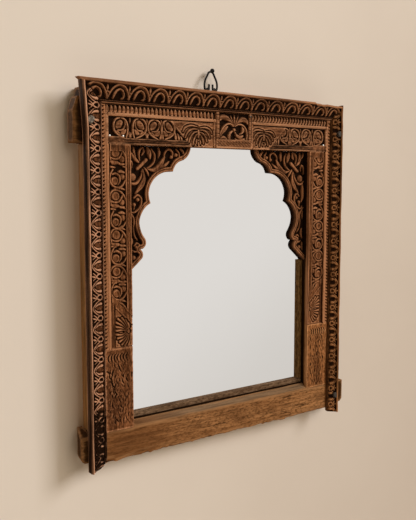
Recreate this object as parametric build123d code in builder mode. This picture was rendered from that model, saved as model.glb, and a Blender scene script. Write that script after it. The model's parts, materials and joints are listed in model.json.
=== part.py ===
import os
from math import asin, atan, cos, degrees, radians, sin

from build123d import *

os.makedirs("parts", exist_ok=True)

# The frame stands in X and Z, with +Y into the wall it hangs on. The wall plane is Y = 0 and
# the origin is the centre of the opening. A depth is a distance from the wall, towards the room.

# The opening and the four timbers round it, in millimetres
opening_width = 420.0
opening_height = 498.0
timber_depth = 45.0
stile_width = 78.0
head_height = 94.0
sill_height = 56.0
cut_overrun = 3.0

# Rebate at the back that takes the glass and the backboard, and the slips in front of the glass
glass_rebate = 18.0
board_rebate = 30.0
board_thickness = 6.0
glass_thickness = 4.0
glass_clearance = 0.5
slip_depth = 15.0
slip_thickness = 6.0
slip_foot_height = 8.4

# Weathered top of the sill
sill_rise = 10.6
sill_bevel_depth = 17.0
sill_groove_width = 1.5
sill_groove_depth = 3.0

# Ears, where the head and the sill run past the stiles
ear_back = 12.0
ear_thickness = 26.0
head_ear_left = 24.0
head_ear_right = 14.0
head_ear_height = 77.0
head_stub = 4.5
sill_ear_left = 24.0
sill_ear_right = 36.0
sill_ear_height = 50.0
ear_slope_width = 8.0
ear_slope_height = 24.0
ear_chamfer = 7.0

# Mortise and tenon joints, with their pegs
tenon_width = 40.0
tenon_thickness = 14.0
tenon_back = 12.0
head_tenon_length = 60.0
sill_tenon_length = 38.0
tenon_clearance = 0.2
tenon_offset = 8.0
peg_diameter = 9.0
peg_length = 33.0
peg_spread = 8.0
peg_clearance = 0.1
head_peg_low = 22.0
head_peg_high = 42.0
sill_peg_high = 13.0
sill_peg_low = 27.0

# Carved facings and tooth mouldings, let into the front of the timbers
facing_thickness = 8.0
lip_width = 10.0
bead_width = 6.0
bead_proud = 1.5
panel_sink = 1.5
side_tooth_width = 7.0
top_tooth_width = 13.0
tooth_proud = 1.0
tooth_notch_depth = 5.0
top_tooth_pitch = 8.0
side_tooth_pitch = 6.5
tooth_notch_share = 0.45
top_notch_height_share = 0.75
side_notch_slant = 32.0
left_joint_drop = 103.0
right_joint_drop = 113.0
foot_sink = 1.0

# Palmette block over the middle of the opening
block_width = 84.0
block_offset = 12.0
block_proud = 3.5
block_sink = 3.0
block_side_bead = 8.0
block_foot = 15.0

# Cornice border
border_edge_side = 55.0
border_edge_top = 65.0
left_border_width = 35.0
right_border_width = 25.5
top_border_left = 39.5
top_border_right = 32.0
border_height = 16.0
border_toe = 2.5
rim_share = 0.15
rim_step = 3.5
rim_round = 1.5
cove_share = 0.14
cove_height = 2.5
border_drop = 6.0
border_foot_share = 0.83
border_foot_height = 20.0

# Arch brackets in the upper corners of the opening
bracket_span = 134.0
bracket_drop = 225.0
bracket_back = 15.0
bracket_front = 32.0
bracket_carving = 7.0
bracket_rim = 8.5
bracket_rim_round = 3.5
dowel_diameter = 5.0
dowel_length = 22.0
dowel_depth = 20.0
dowel_clearance = 0.1
side_dowel_shares = (0.24, 0.62)
top_dowel_shares = (0.28, 0.72)

# Nails, brads and screws
nail_head_diameter = 14.5
nail_head_height = 5.0
nail_seat = 10.0
nail_shank_diameter = 4.5
nail_length = 44.0
left_nail_inset = 10.0
right_nail_inset = 7.0
nail_clearance = 0.1
upper_nail_drop = 57.0
lower_nail_rise = 32.0
pin_diameter = 2.4
pin_length = 14.0
pin_inset = 2.5
pin_count_top = 5
pin_count_side = 5
pin_clearance = 0.1
pin_end_inset = 21.0
pin_foot_rise = 45.0
brad_head_diameter = 3.6
brad_head_height = 1.0
brad_shank_diameter = 1.6
brad_length = 16.0
brad_inset = 4.0
corner_brad_rise = 13.5
corner_brad_inset = 3.0
screw_head_diameter = 7.0
screw_head_height = 2.2
screw_shank_diameter = 3.6
screw_length = 22.0
screw_inset = 6.0
screws_across = 3
screws_up = 4
screw_clearance = 0.1

# Iron hanger: two staples and a bent wire loop
hanger_offset = -17.5
hanger_depth = 12.0
hanger_height = 15.0
wire_diameter = 3.8
loop_half_width = 13.5
loop_bulge_width = 15.8
loop_bulge_height = 13.0
loop_apex_height = 41.5
loop_end_spread = 4.2
loop_end_height = 11.0
end_bend = 2.6
corner_bend = 4.0
bulge_bend = 26.0
apex_bend = 7.0
knot_diameter = 8.6
knot_offset = 3.4
knot_height = 36.2
staple_wire = 2.6
staple_clearance = 0.3
staple_offset = 8.1
staple_length = 16.0

# Places worked out from the sizes
half_turn_share = sin(radians(45))
half_opening = opening_width / 2
opening_top = opening_height / 2
opening_low = -opening_top
stile_outer = half_opening + stile_width
head_top = opening_top + head_height
sill_low = opening_low - sill_height
border_inner = half_opening + border_edge_side
left_rim = -border_inner - left_border_width
right_rim = border_inner + right_border_width
border_low = sill_low - border_drop
field_depth = timber_depth - facing_thickness
facing_outer = border_inner - side_tooth_width
head_field_top = opening_top + border_edge_top
top_rim_left = head_field_top + top_border_left
top_rim_right = head_field_top + top_border_right
facing_top = head_field_top - top_tooth_width
panel_low = opening_top + lip_width
panel_high = facing_top - bead_width
panel_outer = facing_outer - bead_width
rebate_depth = board_thickness + glass_thickness
slip_front = rebate_depth + slip_depth
block_front = timber_depth + block_proud
panel_front = timber_depth - panel_sink
tenon_centre = half_opening + stile_width / 2 + tenon_offset
block_left = block_offset - block_width / 2
block_right = block_offset + block_width / 2
left_joint = -left_joint_drop
right_joint = -right_joint_drop


def front(depth):
    """A plane parallel to the wall at a depth, seen from the room, with Z up."""
    return Plane.XZ.offset(depth)


def patch(left, right, low, high):
    """A rectangle between two sides and two heights, in the sketch that is open."""
    with Locations(((left + right) / 2, (low + high) / 2)):
        Rectangle(right - left, high - low)


def headed_pin(head_diameter, head_height, shank_diameter, length):
    """A round-headed nail along Y, its head's seat at Y = 0 and its shank towards the wall."""
    dome_radius = ((head_diameter / 2) ** 2 + head_height ** 2) / (2 * head_height)
    dome_angle = asin(head_diameter / 2 / dome_radius)
    with BuildPart() as pin:
        with BuildSketch():
            with BuildLine():
                Line((0, -head_height), (0, length))
                Polyline((0, length), (shank_diameter / 2, length - shank_diameter), (shank_diameter / 2, 0),
                         (head_diameter / 2, 0))
                ThreePointArc((head_diameter / 2, 0),
                              (dome_radius * sin(dome_angle / 2),
                               dome_radius - head_height - dome_radius * cos(dome_angle / 2)),
                              (0, -head_height))
            make_face()
        revolve(axis=Axis.Y)
    return pin.part


def countersunk_screw():
    """A backboard screw along Y, its flat head flush at Y = 0 and its shank towards the room."""
    with BuildPart() as screw:
        with BuildSketch():
            with BuildLine():
                Polyline((0, 0), (screw_head_diameter / 2, 0), (screw_shank_diameter / 2, -screw_head_height),
                         (screw_shank_diameter / 2, screw_shank_diameter - screw_length),
                         (0, -screw_length), close=True)
            make_face()
        revolve(axis=Axis.Y)
    return screw.part


def cornice_face(width):
    """Cornice section: across the border from its outer rim, and down for away from the wall."""
    slope_start = border_height - rim_step
    rim_width = rim_share * width
    cove_width = cove_share * width
    cove_start = width - cove_width
    with BuildSketch() as section:
        with BuildLine():
            Polyline((0, rim_round - border_height), (0, 0), (width, 0), (width, -border_toe))
            ThreePointArc((width, -border_toe),
                          (cove_start + cove_width * half_turn_share / 2, -border_toe - cove_height / 4),
                          (cove_start, -border_toe - cove_height))
            Polyline((cove_start, -border_toe - cove_height), (rim_width, -slope_start),
                     (rim_width, rim_round - border_height))
            ThreePointArc((rim_width, rim_round - border_height), (rim_width / 2, -border_height),
                          (0, rim_round - border_height))
        make_face()
    return section.sketch


def bracket_face():
    """Cusped arch bracket, its corner at the origin, grown by a rim past its two straight sides."""
    w = bracket_span
    h = bracket_drop
    top_toe = (w, 0)
    shoulder_share = (0.953, -0.073)
    waist_share = (0.836, -0.115)
    upper_hollow_share = (0.749, -0.152)
    upper_cusp_share = (0.713, -0.200)
    lobe_start_share = (0.599, -0.204)
    lobe_share = (0.410, -0.264)
    lobe_end_share = (0.328, -0.369)
    neck_share = (0.334, -0.409)
    lower_cusp_share = (0.358, -0.451)
    foil_share = (0.236, -0.511)
    foil_end_share = (0.183, -0.596)
    tail_share = (0.205, -0.664)
    tail_end_share = (0.261, -0.724)
    nose_share = (0.276, -0.778)
    nose_end_share = (0.233, -0.809)
    notch_share = (0.190, -0.811)
    drop_share = (0.234, -0.853)
    drop_end_share = (0.205, -0.893)

    def at(share):
        return (share[0] * w, share[1] * h)

    with BuildSketch() as outline:
        with BuildLine():
            Polyline((0, -h), (-bracket_rim, -h), (-bracket_rim, bracket_rim), (w, bracket_rim), top_toe)
            ThreePointArc(top_toe, at(shoulder_share), at(waist_share))
            ThreePointArc(at(waist_share), at(upper_hollow_share), at(upper_cusp_share))
            Line(at(upper_cusp_share), at(lobe_start_share))
            ThreePointArc(at(lobe_start_share), at(lobe_share), at(lobe_end_share))
            ThreePointArc(at(lobe_end_share), at(neck_share), at(lower_cusp_share))
            ThreePointArc(at(lower_cusp_share), at(foil_share), at(foil_end_share))
            ThreePointArc(at(foil_end_share), at(tail_share), at(tail_end_share))
            ThreePointArc(at(tail_end_share), at(nose_share), at(nose_end_share))
            Line(at(nose_end_share), at(notch_share))
            ThreePointArc(at(notch_share), at(drop_share), at(drop_end_share))
            Line(at(drop_end_share), (0, -h))
        make_face()
    return outline.sketch


# Places of the fasteners
peg_places = [
    (side * (tenon_centre - peg_spread), opening_top + head_peg_high) for side in (-1, 1)
] + [
    (side * (tenon_centre + peg_spread), opening_top + head_peg_low) for side in (-1, 1)
] + [
    (side * (tenon_centre - peg_spread), opening_low - sill_peg_high) for side in (-1, 1)
] + [
    (side * (tenon_centre + peg_spread), opening_low - sill_peg_low) for side in (-1, 1)
]
nail_places = [
    (left_rim + left_nail_inset, head_top - upper_nail_drop),
    (right_rim - right_nail_inset, head_top - upper_nail_drop),
    (right_rim - right_nail_inset, sill_low + lower_nail_rise),
]
pin_span_top = 2 * (border_inner - pin_end_inset)
pin_span_side = head_field_top - sill_low - 2 * pin_foot_rise
pin_middle_side = (head_field_top + sill_low) / 2
top_pin_places = [
    (pin_span_top * (step / (pin_count_top - 1) - 1 / 2), head_field_top + pin_inset)
    for step in range(pin_count_top)
]
side_pin_places = [
    (side * (border_inner + pin_inset),
     pin_middle_side + pin_span_side * (step / (pin_count_side - 1) - 1 / 2))
    for side in (-1, 1)
    for step in range(pin_count_side)
]
screw_half_width = half_opening + board_rebate - screw_inset
screw_half_height = opening_top + board_rebate - screw_inset
screw_places = [
    (screw_half_width * (2 * step / (screws_across - 1) - 1), side * screw_half_height)
    for side in (-1, 1)
    for step in range(screws_across)
] + [
    (side * screw_half_width, screw_half_height * (2 * step / (screws_up + 1) - 1))
    for side in (-1, 1)
    for step in range(1, screws_up + 1)
]
brad_places = [
    (corner_brad_inset - panel_outer, opening_top + corner_brad_rise, panel_front),
    (-half_opening - corner_brad_rise, opening_top + corner_brad_rise, panel_front),
    (panel_outer - corner_brad_inset, opening_top + corner_brad_rise, panel_front),
    (block_right - brad_inset, head_field_top - brad_inset, block_front),
]
side_dowel_places = [opening_top - share * bracket_drop for share in side_dowel_shares]
top_dowel_places = [half_opening - share * bracket_span for share in top_dowel_shares]


def drill(places, diameter, clearance, near, far):
    """Cut round holes along Y between two depths from the part that is open."""
    with BuildSketch(front(near)) as rings:
        with Locations(*places):
            Circle(diameter / 2 + clearance)
    extrude(rings.sketch, amount=far - near, mode=Mode.SUBTRACT)


def within(places, left, right, low, high):
    """The places that lie inside a piece's own width and height, as points of a front plane."""
    return [(place[0], place[1]) for place in places if left < place[0] < right and low < place[1] < high]


def brad_holes(left, right, low, high):
    """Cut the holes of the brads inside a piece's own width and height, from the part that is open."""
    drill(within(brad_places, left, right, low, high), brad_shank_diameter, pin_clearance,
          panel_front - brad_length, block_front + cut_overrun)


def hollow(left, right, low, high, near, far):
    """Cut a rectangular pocket between two depths from the part that is open."""
    with BuildSketch(front(near)) as pocket:
        patch(left, right, low, high)
    extrude(pocket.sketch, amount=far - near, mode=Mode.SUBTRACT)


def rebate_cuts():
    """Cut the glass and backboard rebates from the timber that is open."""
    glass_side = half_opening + glass_rebate
    board_side = half_opening + board_rebate
    glass_end = opening_top + glass_rebate
    board_end = opening_top + board_rebate
    hollow(-glass_side, glass_side, -glass_end, glass_end, -cut_overrun, rebate_depth)
    hollow(-board_side, board_side, -board_end, board_end, -cut_overrun, board_thickness)


# Head rail, with the field let into its front, two mortises and an ear at each end
mortise_half = tenon_width / 2 + tenon_clearance
mortise_back = tenon_back - tenon_clearance
mortise_front = tenon_back + tenon_thickness + tenon_clearance
head_end = stile_outer + head_stub
staple_leg = wire_diameter / 2 + staple_clearance + staple_wire / 2
with BuildPart() as head_rail:
    with BuildSketch(front(0)):
        patch(-head_end, head_end, opening_top, head_top)
    extrude(amount=timber_depth)
    for side, reach in ((-1, head_ear_left), (1, head_ear_right)):
        tip = side * (stile_outer + reach)
        root = side * head_end
        slope = side * min(ear_slope_width, reach - head_stub)
        with BuildSketch(front(ear_back)):
            with BuildLine():
                Polyline((root, opening_top), (tip, opening_top),
                         (tip, opening_top + head_ear_height - ear_slope_height),
                         (tip - slope, opening_top + head_ear_height),
                         (root, opening_top + head_ear_height), close=True)
            make_face()
        extrude(amount=ear_thickness)
    hollow(-border_inner, border_inner, opening_top - cut_overrun, head_field_top, field_depth,
           timber_depth + cut_overrun)
    rebate_cuts()
    for side in (-1, 1):
        mortise = side * tenon_centre
        hollow(mortise - mortise_half, mortise + mortise_half, opening_top - cut_overrun,
               opening_top + head_tenon_length + tenon_clearance, mortise_back, mortise_front)
    drill(within(peg_places, -head_end, head_end, opening_top, head_top), peg_diameter, peg_clearance,
          -cut_overrun, peg_length)
    drill(within(nail_places, -head_end, head_end, opening_top, head_top), nail_shank_diameter,
          nail_clearance, timber_depth + nail_seat - nail_length, timber_depth + cut_overrun)
    drill(within(top_pin_places + side_pin_places, -head_end, head_end, opening_top, head_top), pin_diameter,
          pin_clearance, timber_depth + border_toe - pin_length, timber_depth + cut_overrun)
    drill(within(screw_places, -head_end, head_end, opening_top, head_top), screw_shank_diameter,
          screw_clearance, -cut_overrun, screw_length)
    brad_holes(-head_end, head_end, opening_top, head_top)
    with BuildSketch(Plane.XY.offset(head_top)):
        with Locations(*[(hanger_offset + side * staple_offset, row * staple_leg - hanger_depth)
                         for side in (-1, 1) for row in (-1, 1)]):
            Circle(staple_wire / 2 + nail_clearance)
    extrude(amount=-staple_length, mode=Mode.SUBTRACT)
    for place in top_dowel_places:
        with BuildSketch(Plane.XY.offset(opening_top)):
            with Locations((-place, -dowel_depth), (place, -dowel_depth)):
                Circle(dowel_diameter / 2 + dowel_clearance)
        extrude(amount=dowel_length / 2, mode=Mode.SUBTRACT)
head_rail.part.label = "head_rail"
export_step(head_rail.part, "parts/head_rail.step")

# Sill rail, with its weathered top between the stiles
sill_face_back = timber_depth - sill_bevel_depth
sill_ridge = opening_low + sill_rise
with BuildPart() as sill_rail:
    with BuildSketch(front(0)):
        patch(-stile_outer, stile_outer, sill_low, opening_low)
    extrude(amount=timber_depth)
    with BuildSketch(Plane.YZ.offset(-half_opening)):
        with BuildLine():
            Polyline((-timber_depth, opening_low), (-sill_face_back, sill_ridge),
                     (-slip_front - sill_groove_width, sill_ridge),
                     (-slip_front - sill_groove_width, sill_ridge - sill_groove_depth),
                     (-slip_front, sill_ridge - sill_groove_depth), (-slip_front, sill_ridge),
                     (-rebate_depth, sill_ridge), (-rebate_depth, opening_low), close=True)
        make_face()
    extrude(amount=opening_width)
    for side, reach in ((-1, sill_ear_left), (1, sill_ear_right)):
        tip = side * (stile_outer + reach)
        root = side * stile_outer
        with BuildSketch(front(ear_back)):
            with BuildLine():
                Polyline((root, opening_low), (tip, opening_low),
                         (tip, opening_low - sill_ear_height + ear_chamfer),
                         (tip - side * ear_chamfer, opening_low - sill_ear_height),
                         (root, opening_low - sill_ear_height), close=True)
            make_face()
        extrude(amount=ear_thickness)
    for side in (-1, 1):
        mortise = side * tenon_centre
        hollow(mortise - mortise_half, mortise + mortise_half,
               opening_low - sill_tenon_length - tenon_clearance, opening_low + cut_overrun,
               mortise_back, mortise_front)
    rebate_cuts()
    drill(within(peg_places, -stile_outer, stile_outer, sill_low, opening_low), peg_diameter, peg_clearance,
          -cut_overrun, peg_length)
    drill(within(nail_places, -stile_outer, stile_outer, sill_low, opening_low), nail_shank_diameter,
          nail_clearance, timber_depth + nail_seat - nail_length, timber_depth + cut_overrun)
    drill(within(side_pin_places, -stile_outer, stile_outer, sill_low, opening_low), pin_diameter,
          pin_clearance, timber_depth + border_toe - pin_length, timber_depth + cut_overrun)
    drill(within(screw_places, -stile_outer, stile_outer, sill_low, opening_low), screw_shank_diameter,
          screw_clearance, -cut_overrun, screw_length)
sill_rail.part.label = "sill_rail"
export_step(sill_rail.part, "parts/sill_rail.step")

# Stiles: one rebated section run up from the sill, with a tenon at each end
tenon_middle = tenon_back + tenon_thickness / 2
for name, side in (("left_stile", -1), ("right_stile", 1)):
    reach = sorted((0, side * stile_outer))
    with BuildPart() as stile:
        with BuildSketch(Plane.XY.offset(opening_low)):
            with BuildLine():
                Polyline((side * half_opening, -rebate_depth), (side * half_opening, -field_depth),
                         (side * border_inner, -field_depth), (side * border_inner, -timber_depth),
                         (side * stile_outer, -timber_depth), (side * stile_outer, 0),
                         (side * (half_opening + board_rebate), 0),
                         (side * (half_opening + board_rebate), -board_thickness),
                         (side * (half_opening + glass_rebate), -board_thickness),
                         (side * (half_opening + glass_rebate), -rebate_depth), close=True)
            make_face()
        extrude(amount=opening_height)
        for end, length in ((opening_top, head_tenon_length), (opening_low, -sill_tenon_length)):
            with BuildSketch(Plane.XY.offset(end)):
                with Locations((side * tenon_centre, -tenon_middle)):
                    Rectangle(tenon_width, tenon_thickness)
            extrude(amount=length)
        drill(within(peg_places, reach[0], reach[1], sill_low, head_top), peg_diameter, peg_clearance,
              -cut_overrun, peg_length)
        drill(within(side_pin_places, reach[0], reach[1], opening_low, opening_top), pin_diameter,
              pin_clearance, timber_depth + border_toe - pin_length, timber_depth + cut_overrun)
        drill(within(screw_places, reach[0], reach[1], opening_low, opening_top), screw_shank_diameter,
              screw_clearance, -cut_overrun, screw_length)
        for place in side_dowel_places:
            with BuildSketch(Plane.YZ.offset(side * half_opening)):
                with Locations((-dowel_depth, place)):
                    Circle(dowel_diameter / 2 + dowel_clearance)
            extrude(amount=side * dowel_length / 2, mode=Mode.SUBTRACT)
    stile.part.label = name
    export_step(stile.part, f"parts/{name}.step")

# Cornice border: one section run along the head and down each side, mitred at the corners. The
# old head length is wider at its left end, and the left upright is wider than the right one.
left_mitre = Plane(origin=(left_rim, 0, top_rim_left), z_dir=(top_border_left, 0, left_border_width))
right_mitre = Plane(origin=(right_rim, 0, top_rim_right), z_dir=(-top_border_right, 0, right_border_width))
with BuildPart() as top_border:
    for place, width in ((left_rim, top_border_left), (right_rim, top_border_right)):
        with BuildSketch(Plane(origin=(place, -timber_depth, head_field_top + width), x_dir=(0, 0, -1),
                               z_dir=(1, 0, 0))):
            add(cornice_face(width))
    loft(ruled=True)
    split(bisect_by=left_mitre, keep=Keep.TOP)
    split(bisect_by=right_mitre, keep=Keep.TOP)
    drill(top_pin_places, pin_diameter, pin_clearance, timber_depth - cut_overrun,
          timber_depth + border_height)
top_border.part.label = "top_border"
export_step(top_border.part, "parts/top_border.step")

border_foot_top = border_low + border_foot_height
foot_bow = border_low + border_foot_height * (1 - half_turn_share)
for name, side, mitre, width, rim_top in (
    ("left_border", -1, left_mitre, left_border_width, top_rim_left),
    ("right_border", 1, right_mitre, right_border_width, top_rim_right),
):
    rim = side * (border_inner + width)
    reach = sorted((0, rim))
    foot_outer = rim - side * rim_share * width
    foot_inner = side * border_inner
    foot_past = side * (border_inner - cut_overrun)
    with BuildPart() as side_border:
        with BuildSketch(Plane(origin=(rim, -timber_depth, border_low), x_dir=(-side, 0, 0),
                               z_dir=(0, 0, -side))):
            add(cornice_face(width))
        extrude(amount=side * (border_low - rim_top))
        split(bisect_by=mitre, keep=Keep.BOTTOM)
        with BuildSketch(front(timber_depth - cut_overrun)):
            with BuildLine():
                Polyline((foot_outer, border_low), (foot_outer, border_low - cut_overrun),
                         (foot_past, border_low - cut_overrun), (foot_past, border_foot_top),
                         (foot_inner, border_foot_top))
                ThreePointArc((foot_inner, border_foot_top),
                              (rim - side * border_foot_share * width, foot_bow),
                              (foot_outer, border_low))
            make_face()
        extrude(amount=border_height + 2 * cut_overrun, mode=Mode.SUBTRACT)
        drill(within(nail_places, reach[0], reach[1], border_low, head_top), nail_shank_diameter,
              nail_clearance, timber_depth - cut_overrun, timber_depth + border_height)
        drill(within(nail_places, reach[0], reach[1], border_low, head_top), nail_head_diameter,
              nail_clearance, timber_depth + nail_seat, timber_depth + border_height + cut_overrun)
        drill(within(side_pin_places, reach[0], reach[1], border_low, head_top), pin_diameter, pin_clearance,
              timber_depth - cut_overrun, timber_depth + border_height)
    side_border.part.label = name
    export_step(side_border.part, f"parts/{name}.step")

# Tooth mouldings: a notched strip down each side as far as the foot panel, and two along the head
tooth_thickness = facing_thickness + tooth_proud
notch_floor = timber_depth + tooth_proud - tooth_notch_depth
side_notch_width = side_tooth_pitch * tooth_notch_share
side_notch_length = 2 * side_tooth_width
for name, side, foot in (("left_teeth", -1, left_joint), ("right_teeth", 1, right_joint)):
    strip_sides = sorted((side * facing_outer, side * border_inner))
    strip_middle = side * (facing_outer + border_inner) / 2
    notch_count = int((head_field_top - foot) / side_tooth_pitch) - 1
    notch_start = (head_field_top + foot - (notch_count - 1) * side_tooth_pitch) / 2
    with BuildPart() as side_teeth:
        with BuildSketch(front(field_depth)):
            patch(strip_sides[0], strip_sides[1], foot, head_field_top)
        extrude(amount=tooth_thickness)
        with BuildSketch(front(notch_floor)):
            with Locations(*[(strip_middle, notch_start + step * side_tooth_pitch)
                             for step in range(notch_count)]):
                Rectangle(side_notch_length, side_notch_width, rotation=side * side_notch_slant)
        extrude(amount=tooth_notch_depth + cut_overrun, mode=Mode.SUBTRACT)
    side_teeth.part.label = name
    export_step(side_teeth.part, f"parts/{name}.step")

top_notch_width = top_tooth_pitch * tooth_notch_share
top_notch_height = top_tooth_width * top_notch_height_share
for name, start, end in (
    ("top_left_teeth", -facing_outer, block_left),
    ("top_right_teeth", block_right, facing_outer),
):
    notch_count = int((end - start) / top_tooth_pitch) - 1
    notch_start = (start + end - (notch_count - 1) * top_tooth_pitch) / 2
    with BuildPart() as top_teeth:
        with BuildSketch(front(field_depth)):
            patch(start, end, facing_top, head_field_top)
        extrude(amount=tooth_thickness)
        with BuildSketch(front(notch_floor)):
            with Locations(*[(notch_start + step * top_tooth_pitch, head_field_top)
                             for step in range(notch_count)]):
                with BuildLine():
                    Polyline((-top_notch_width / 2, 0), (0, -top_notch_height),
                             (top_notch_width / 2, 0), close=True)
                make_face()
        extrude(amount=tooth_notch_depth + cut_overrun, mode=Mode.SUBTRACT)
    top_teeth.part.label = name
    export_step(top_teeth.part, f"parts/{name}.step")

# Carved facings of the head, from each outer bead to the palmette block
for name, side, end in (("left_head_facing", -1, block_left), ("right_head_facing", 1, block_right)):
    outer = sorted((side * facing_outer, end))
    inner = sorted((side * panel_outer, end))
    with BuildPart() as head_facing:
        with BuildSketch(front(field_depth)):
            patch(outer[0], outer[1], opening_top, facing_top)
        extrude(amount=facing_thickness + bead_proud)
        hollow(inner[0], inner[1], opening_top - cut_overrun, panel_high, timber_depth,
               timber_depth + bead_proud + cut_overrun)
        hollow(inner[0], inner[1], panel_low, panel_high, panel_front,
               timber_depth + bead_proud + cut_overrun)
        brad_holes(outer[0], outer[1], opening_top, facing_top)
    head_facing.part.label = name
    export_step(head_facing.part, f"parts/{name}.step")

# Vine panels of the stiles, from the head down to the joint with the foot panel
for name, side, foot in (("left_vine_facing", -1, left_joint), ("right_vine_facing", 1, right_joint)):
    outer = sorted((side * facing_outer, side * half_opening))
    inner = sorted((side * panel_outer, side * half_opening))
    panel = sorted((side * panel_outer, side * (half_opening + lip_width)))
    with BuildPart() as vine_facing:
        with BuildSketch(front(field_depth)):
            patch(outer[0], outer[1], foot, opening_top)
        extrude(amount=facing_thickness + bead_proud)
        hollow(inner[0], inner[1], foot - cut_overrun, opening_top + cut_overrun, timber_depth,
               timber_depth + bead_proud + cut_overrun)
        hollow(panel[0], panel[1], foot - cut_overrun, opening_top + cut_overrun, panel_front,
               timber_depth + bead_proud + cut_overrun)
    vine_facing.part.label = name
    export_step(vine_facing.part, f"parts/{name}.step")

# Foot panels of the stiles, as wide as the vine panel and the teeth together
for name, side, head in (("left_foot_facing", -1, left_joint), ("right_foot_facing", 1, right_joint)):
    outer = sorted((side * border_inner, side * half_opening))
    panel = sorted((side * border_inner, side * (half_opening + lip_width)))
    with BuildPart() as foot_facing:
        with BuildSketch(front(field_depth)):
            patch(outer[0], outer[1], opening_low, head)
        extrude(amount=facing_thickness)
        hollow(panel[0], panel[1], opening_low - cut_overrun, head + cut_overrun, timber_depth - foot_sink,
               timber_depth + cut_overrun)
    foot_facing.part.label = name
    export_step(foot_facing.part, f"parts/{name}.step")

# Palmette block, standing proud of the head, with a raised frame round its sunk field
with BuildPart() as centre_block:
    with BuildSketch(front(field_depth)):
        patch(block_left, block_right, opening_top, head_field_top)
    extrude(amount=block_front - field_depth)
    hollow(block_left + block_side_bead, block_right - block_side_bead, opening_top + block_foot,
           head_field_top + cut_overrun, block_front - block_sink, block_front + cut_overrun)
    brad_holes(block_left, block_right, opening_top, head_field_top)
centre_block.part.label = "centre_block"
export_step(centre_block.part, "parts/centre_block.step")

# Left bracket: a cusped board with a rounded rim left standing along its edge
bracket_corner = Plane(origin=(-half_opening, 0, opening_top), x_dir=(1, 0, 0), z_dir=(0, -1, 0))
bracket_ground = bracket_front - bracket_carving
with BuildPart() as left_bracket:
    with BuildSketch(bracket_corner.offset(bracket_back)):
        add(bracket_face())
        Rectangle(bracket_span, bracket_drop, align=(Align.MIN, Align.MAX), mode=Mode.INTERSECT)
    extrude(amount=bracket_front - bracket_back)
    front_edges = left_bracket.faces().sort_by(Axis.Y)[0].edges()
    cusped_edges = [edge for edge in front_edges
                    if edge.center().X > bracket_rim - half_opening
                    and edge.center().Z < opening_top - bracket_rim]
    fillet(cusped_edges, bracket_rim_round)
    with BuildSketch(bracket_corner.offset(bracket_ground)):
        add(bracket_face())
        offset(amount=-bracket_rim, kind=Kind.ARC, mode=Mode.REPLACE)
    extrude(amount=bracket_carving + cut_overrun, mode=Mode.SUBTRACT)
    for place in side_dowel_places:
        with BuildSketch(Plane.YZ.offset(-half_opening)):
            with Locations((-dowel_depth, place)):
                Circle(dowel_diameter / 2 + dowel_clearance)
        extrude(amount=dowel_length / 2, mode=Mode.SUBTRACT)
    for place in top_dowel_places:
        with BuildSketch(Plane.XY.offset(opening_top)):
            with Locations((-place, -dowel_depth)):
                Circle(dowel_diameter / 2 + dowel_clearance)
        extrude(amount=-dowel_length / 2, mode=Mode.SUBTRACT)
left_bracket.part.label = "left_bracket"
export_step(left_bracket.part, "parts/left_bracket.step")

with BuildPart() as right_bracket:
    add(mirror(left_bracket.part, about=Plane.YZ))
right_bracket.part.label = "right_bracket"
export_step(right_bracket.part, "parts/right_bracket.step")

# Slips in front of the glass: one along the sill, and one up each side as far as the bracket
slip_top = sill_ridge + slip_foot_height
bracket_low = opening_top - bracket_drop
for name, left, right, low, high in (
    ("bottom_slip", -half_opening, half_opening, sill_ridge, slip_top),
    ("left_slip", -half_opening, slip_thickness - half_opening, slip_top, bracket_low),
    ("right_slip", half_opening - slip_thickness, half_opening, slip_top, bracket_low),
):
    with BuildPart() as slip:
        with BuildSketch(front(rebate_depth)):
            patch(left, right, low, high)
        extrude(amount=slip_depth)
    slip.part.label = name
    export_step(slip.part, f"parts/{name}.step")

# Mirror glass, in its rebate
with BuildPart() as mirror_glass:
    with BuildSketch(front(board_thickness)):
        Rectangle(2 * (half_opening + glass_rebate - glass_clearance),
                  2 * (opening_top + glass_rebate - glass_clearance))
    extrude(amount=glass_thickness)
mirror_glass.part.label = "mirror_glass"
export_step(mirror_glass.part, "parts/mirror_glass.step")

screw_head_angle = degrees(2 * atan((screw_head_diameter - screw_shank_diameter) / 2 / screw_head_height))

# Backboard, flush with the back of the timbers and countersunk for its screws
with BuildPart() as backboard:
    with BuildSketch(front(0)):
        Rectangle(2 * (half_opening + board_rebate - glass_clearance),
                  2 * (opening_top + board_rebate - glass_clearance))
    extrude(amount=board_thickness)
    with Locations(*[Plane(origin=(x, 0, z), x_dir=(1, 0, 0), z_dir=(0, 1, 0)) for x, z in screw_places]):
        CounterSinkHole(screw_shank_diameter / 2 + screw_clearance, screw_head_diameter / 2 + screw_clearance,
                        counter_sink_angle=screw_head_angle)
backboard.part.label = "backboard"
export_step(backboard.part, "parts/backboard.step")

# Backboard screws
one_screw = countersunk_screw()
with BuildPart() as backboard_screws:
    with Locations(*[(x, 0, z) for x, z in screw_places]):
        add(one_screw)
backboard_screws.part.label = "backboard_screws"
export_step(backboard_screws.part, "parts/backboard_screws.step")

# Wooden pegs, driven from the back through the tenons
with BuildPart() as joint_pegs:
    with BuildSketch(front(0)):
        with Locations(*peg_places):
            Circle(peg_diameter / 2)
    extrude(amount=peg_length)
joint_pegs.part.label = "joint_pegs"
export_step(joint_pegs.part, "parts/joint_pegs.step")

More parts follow.
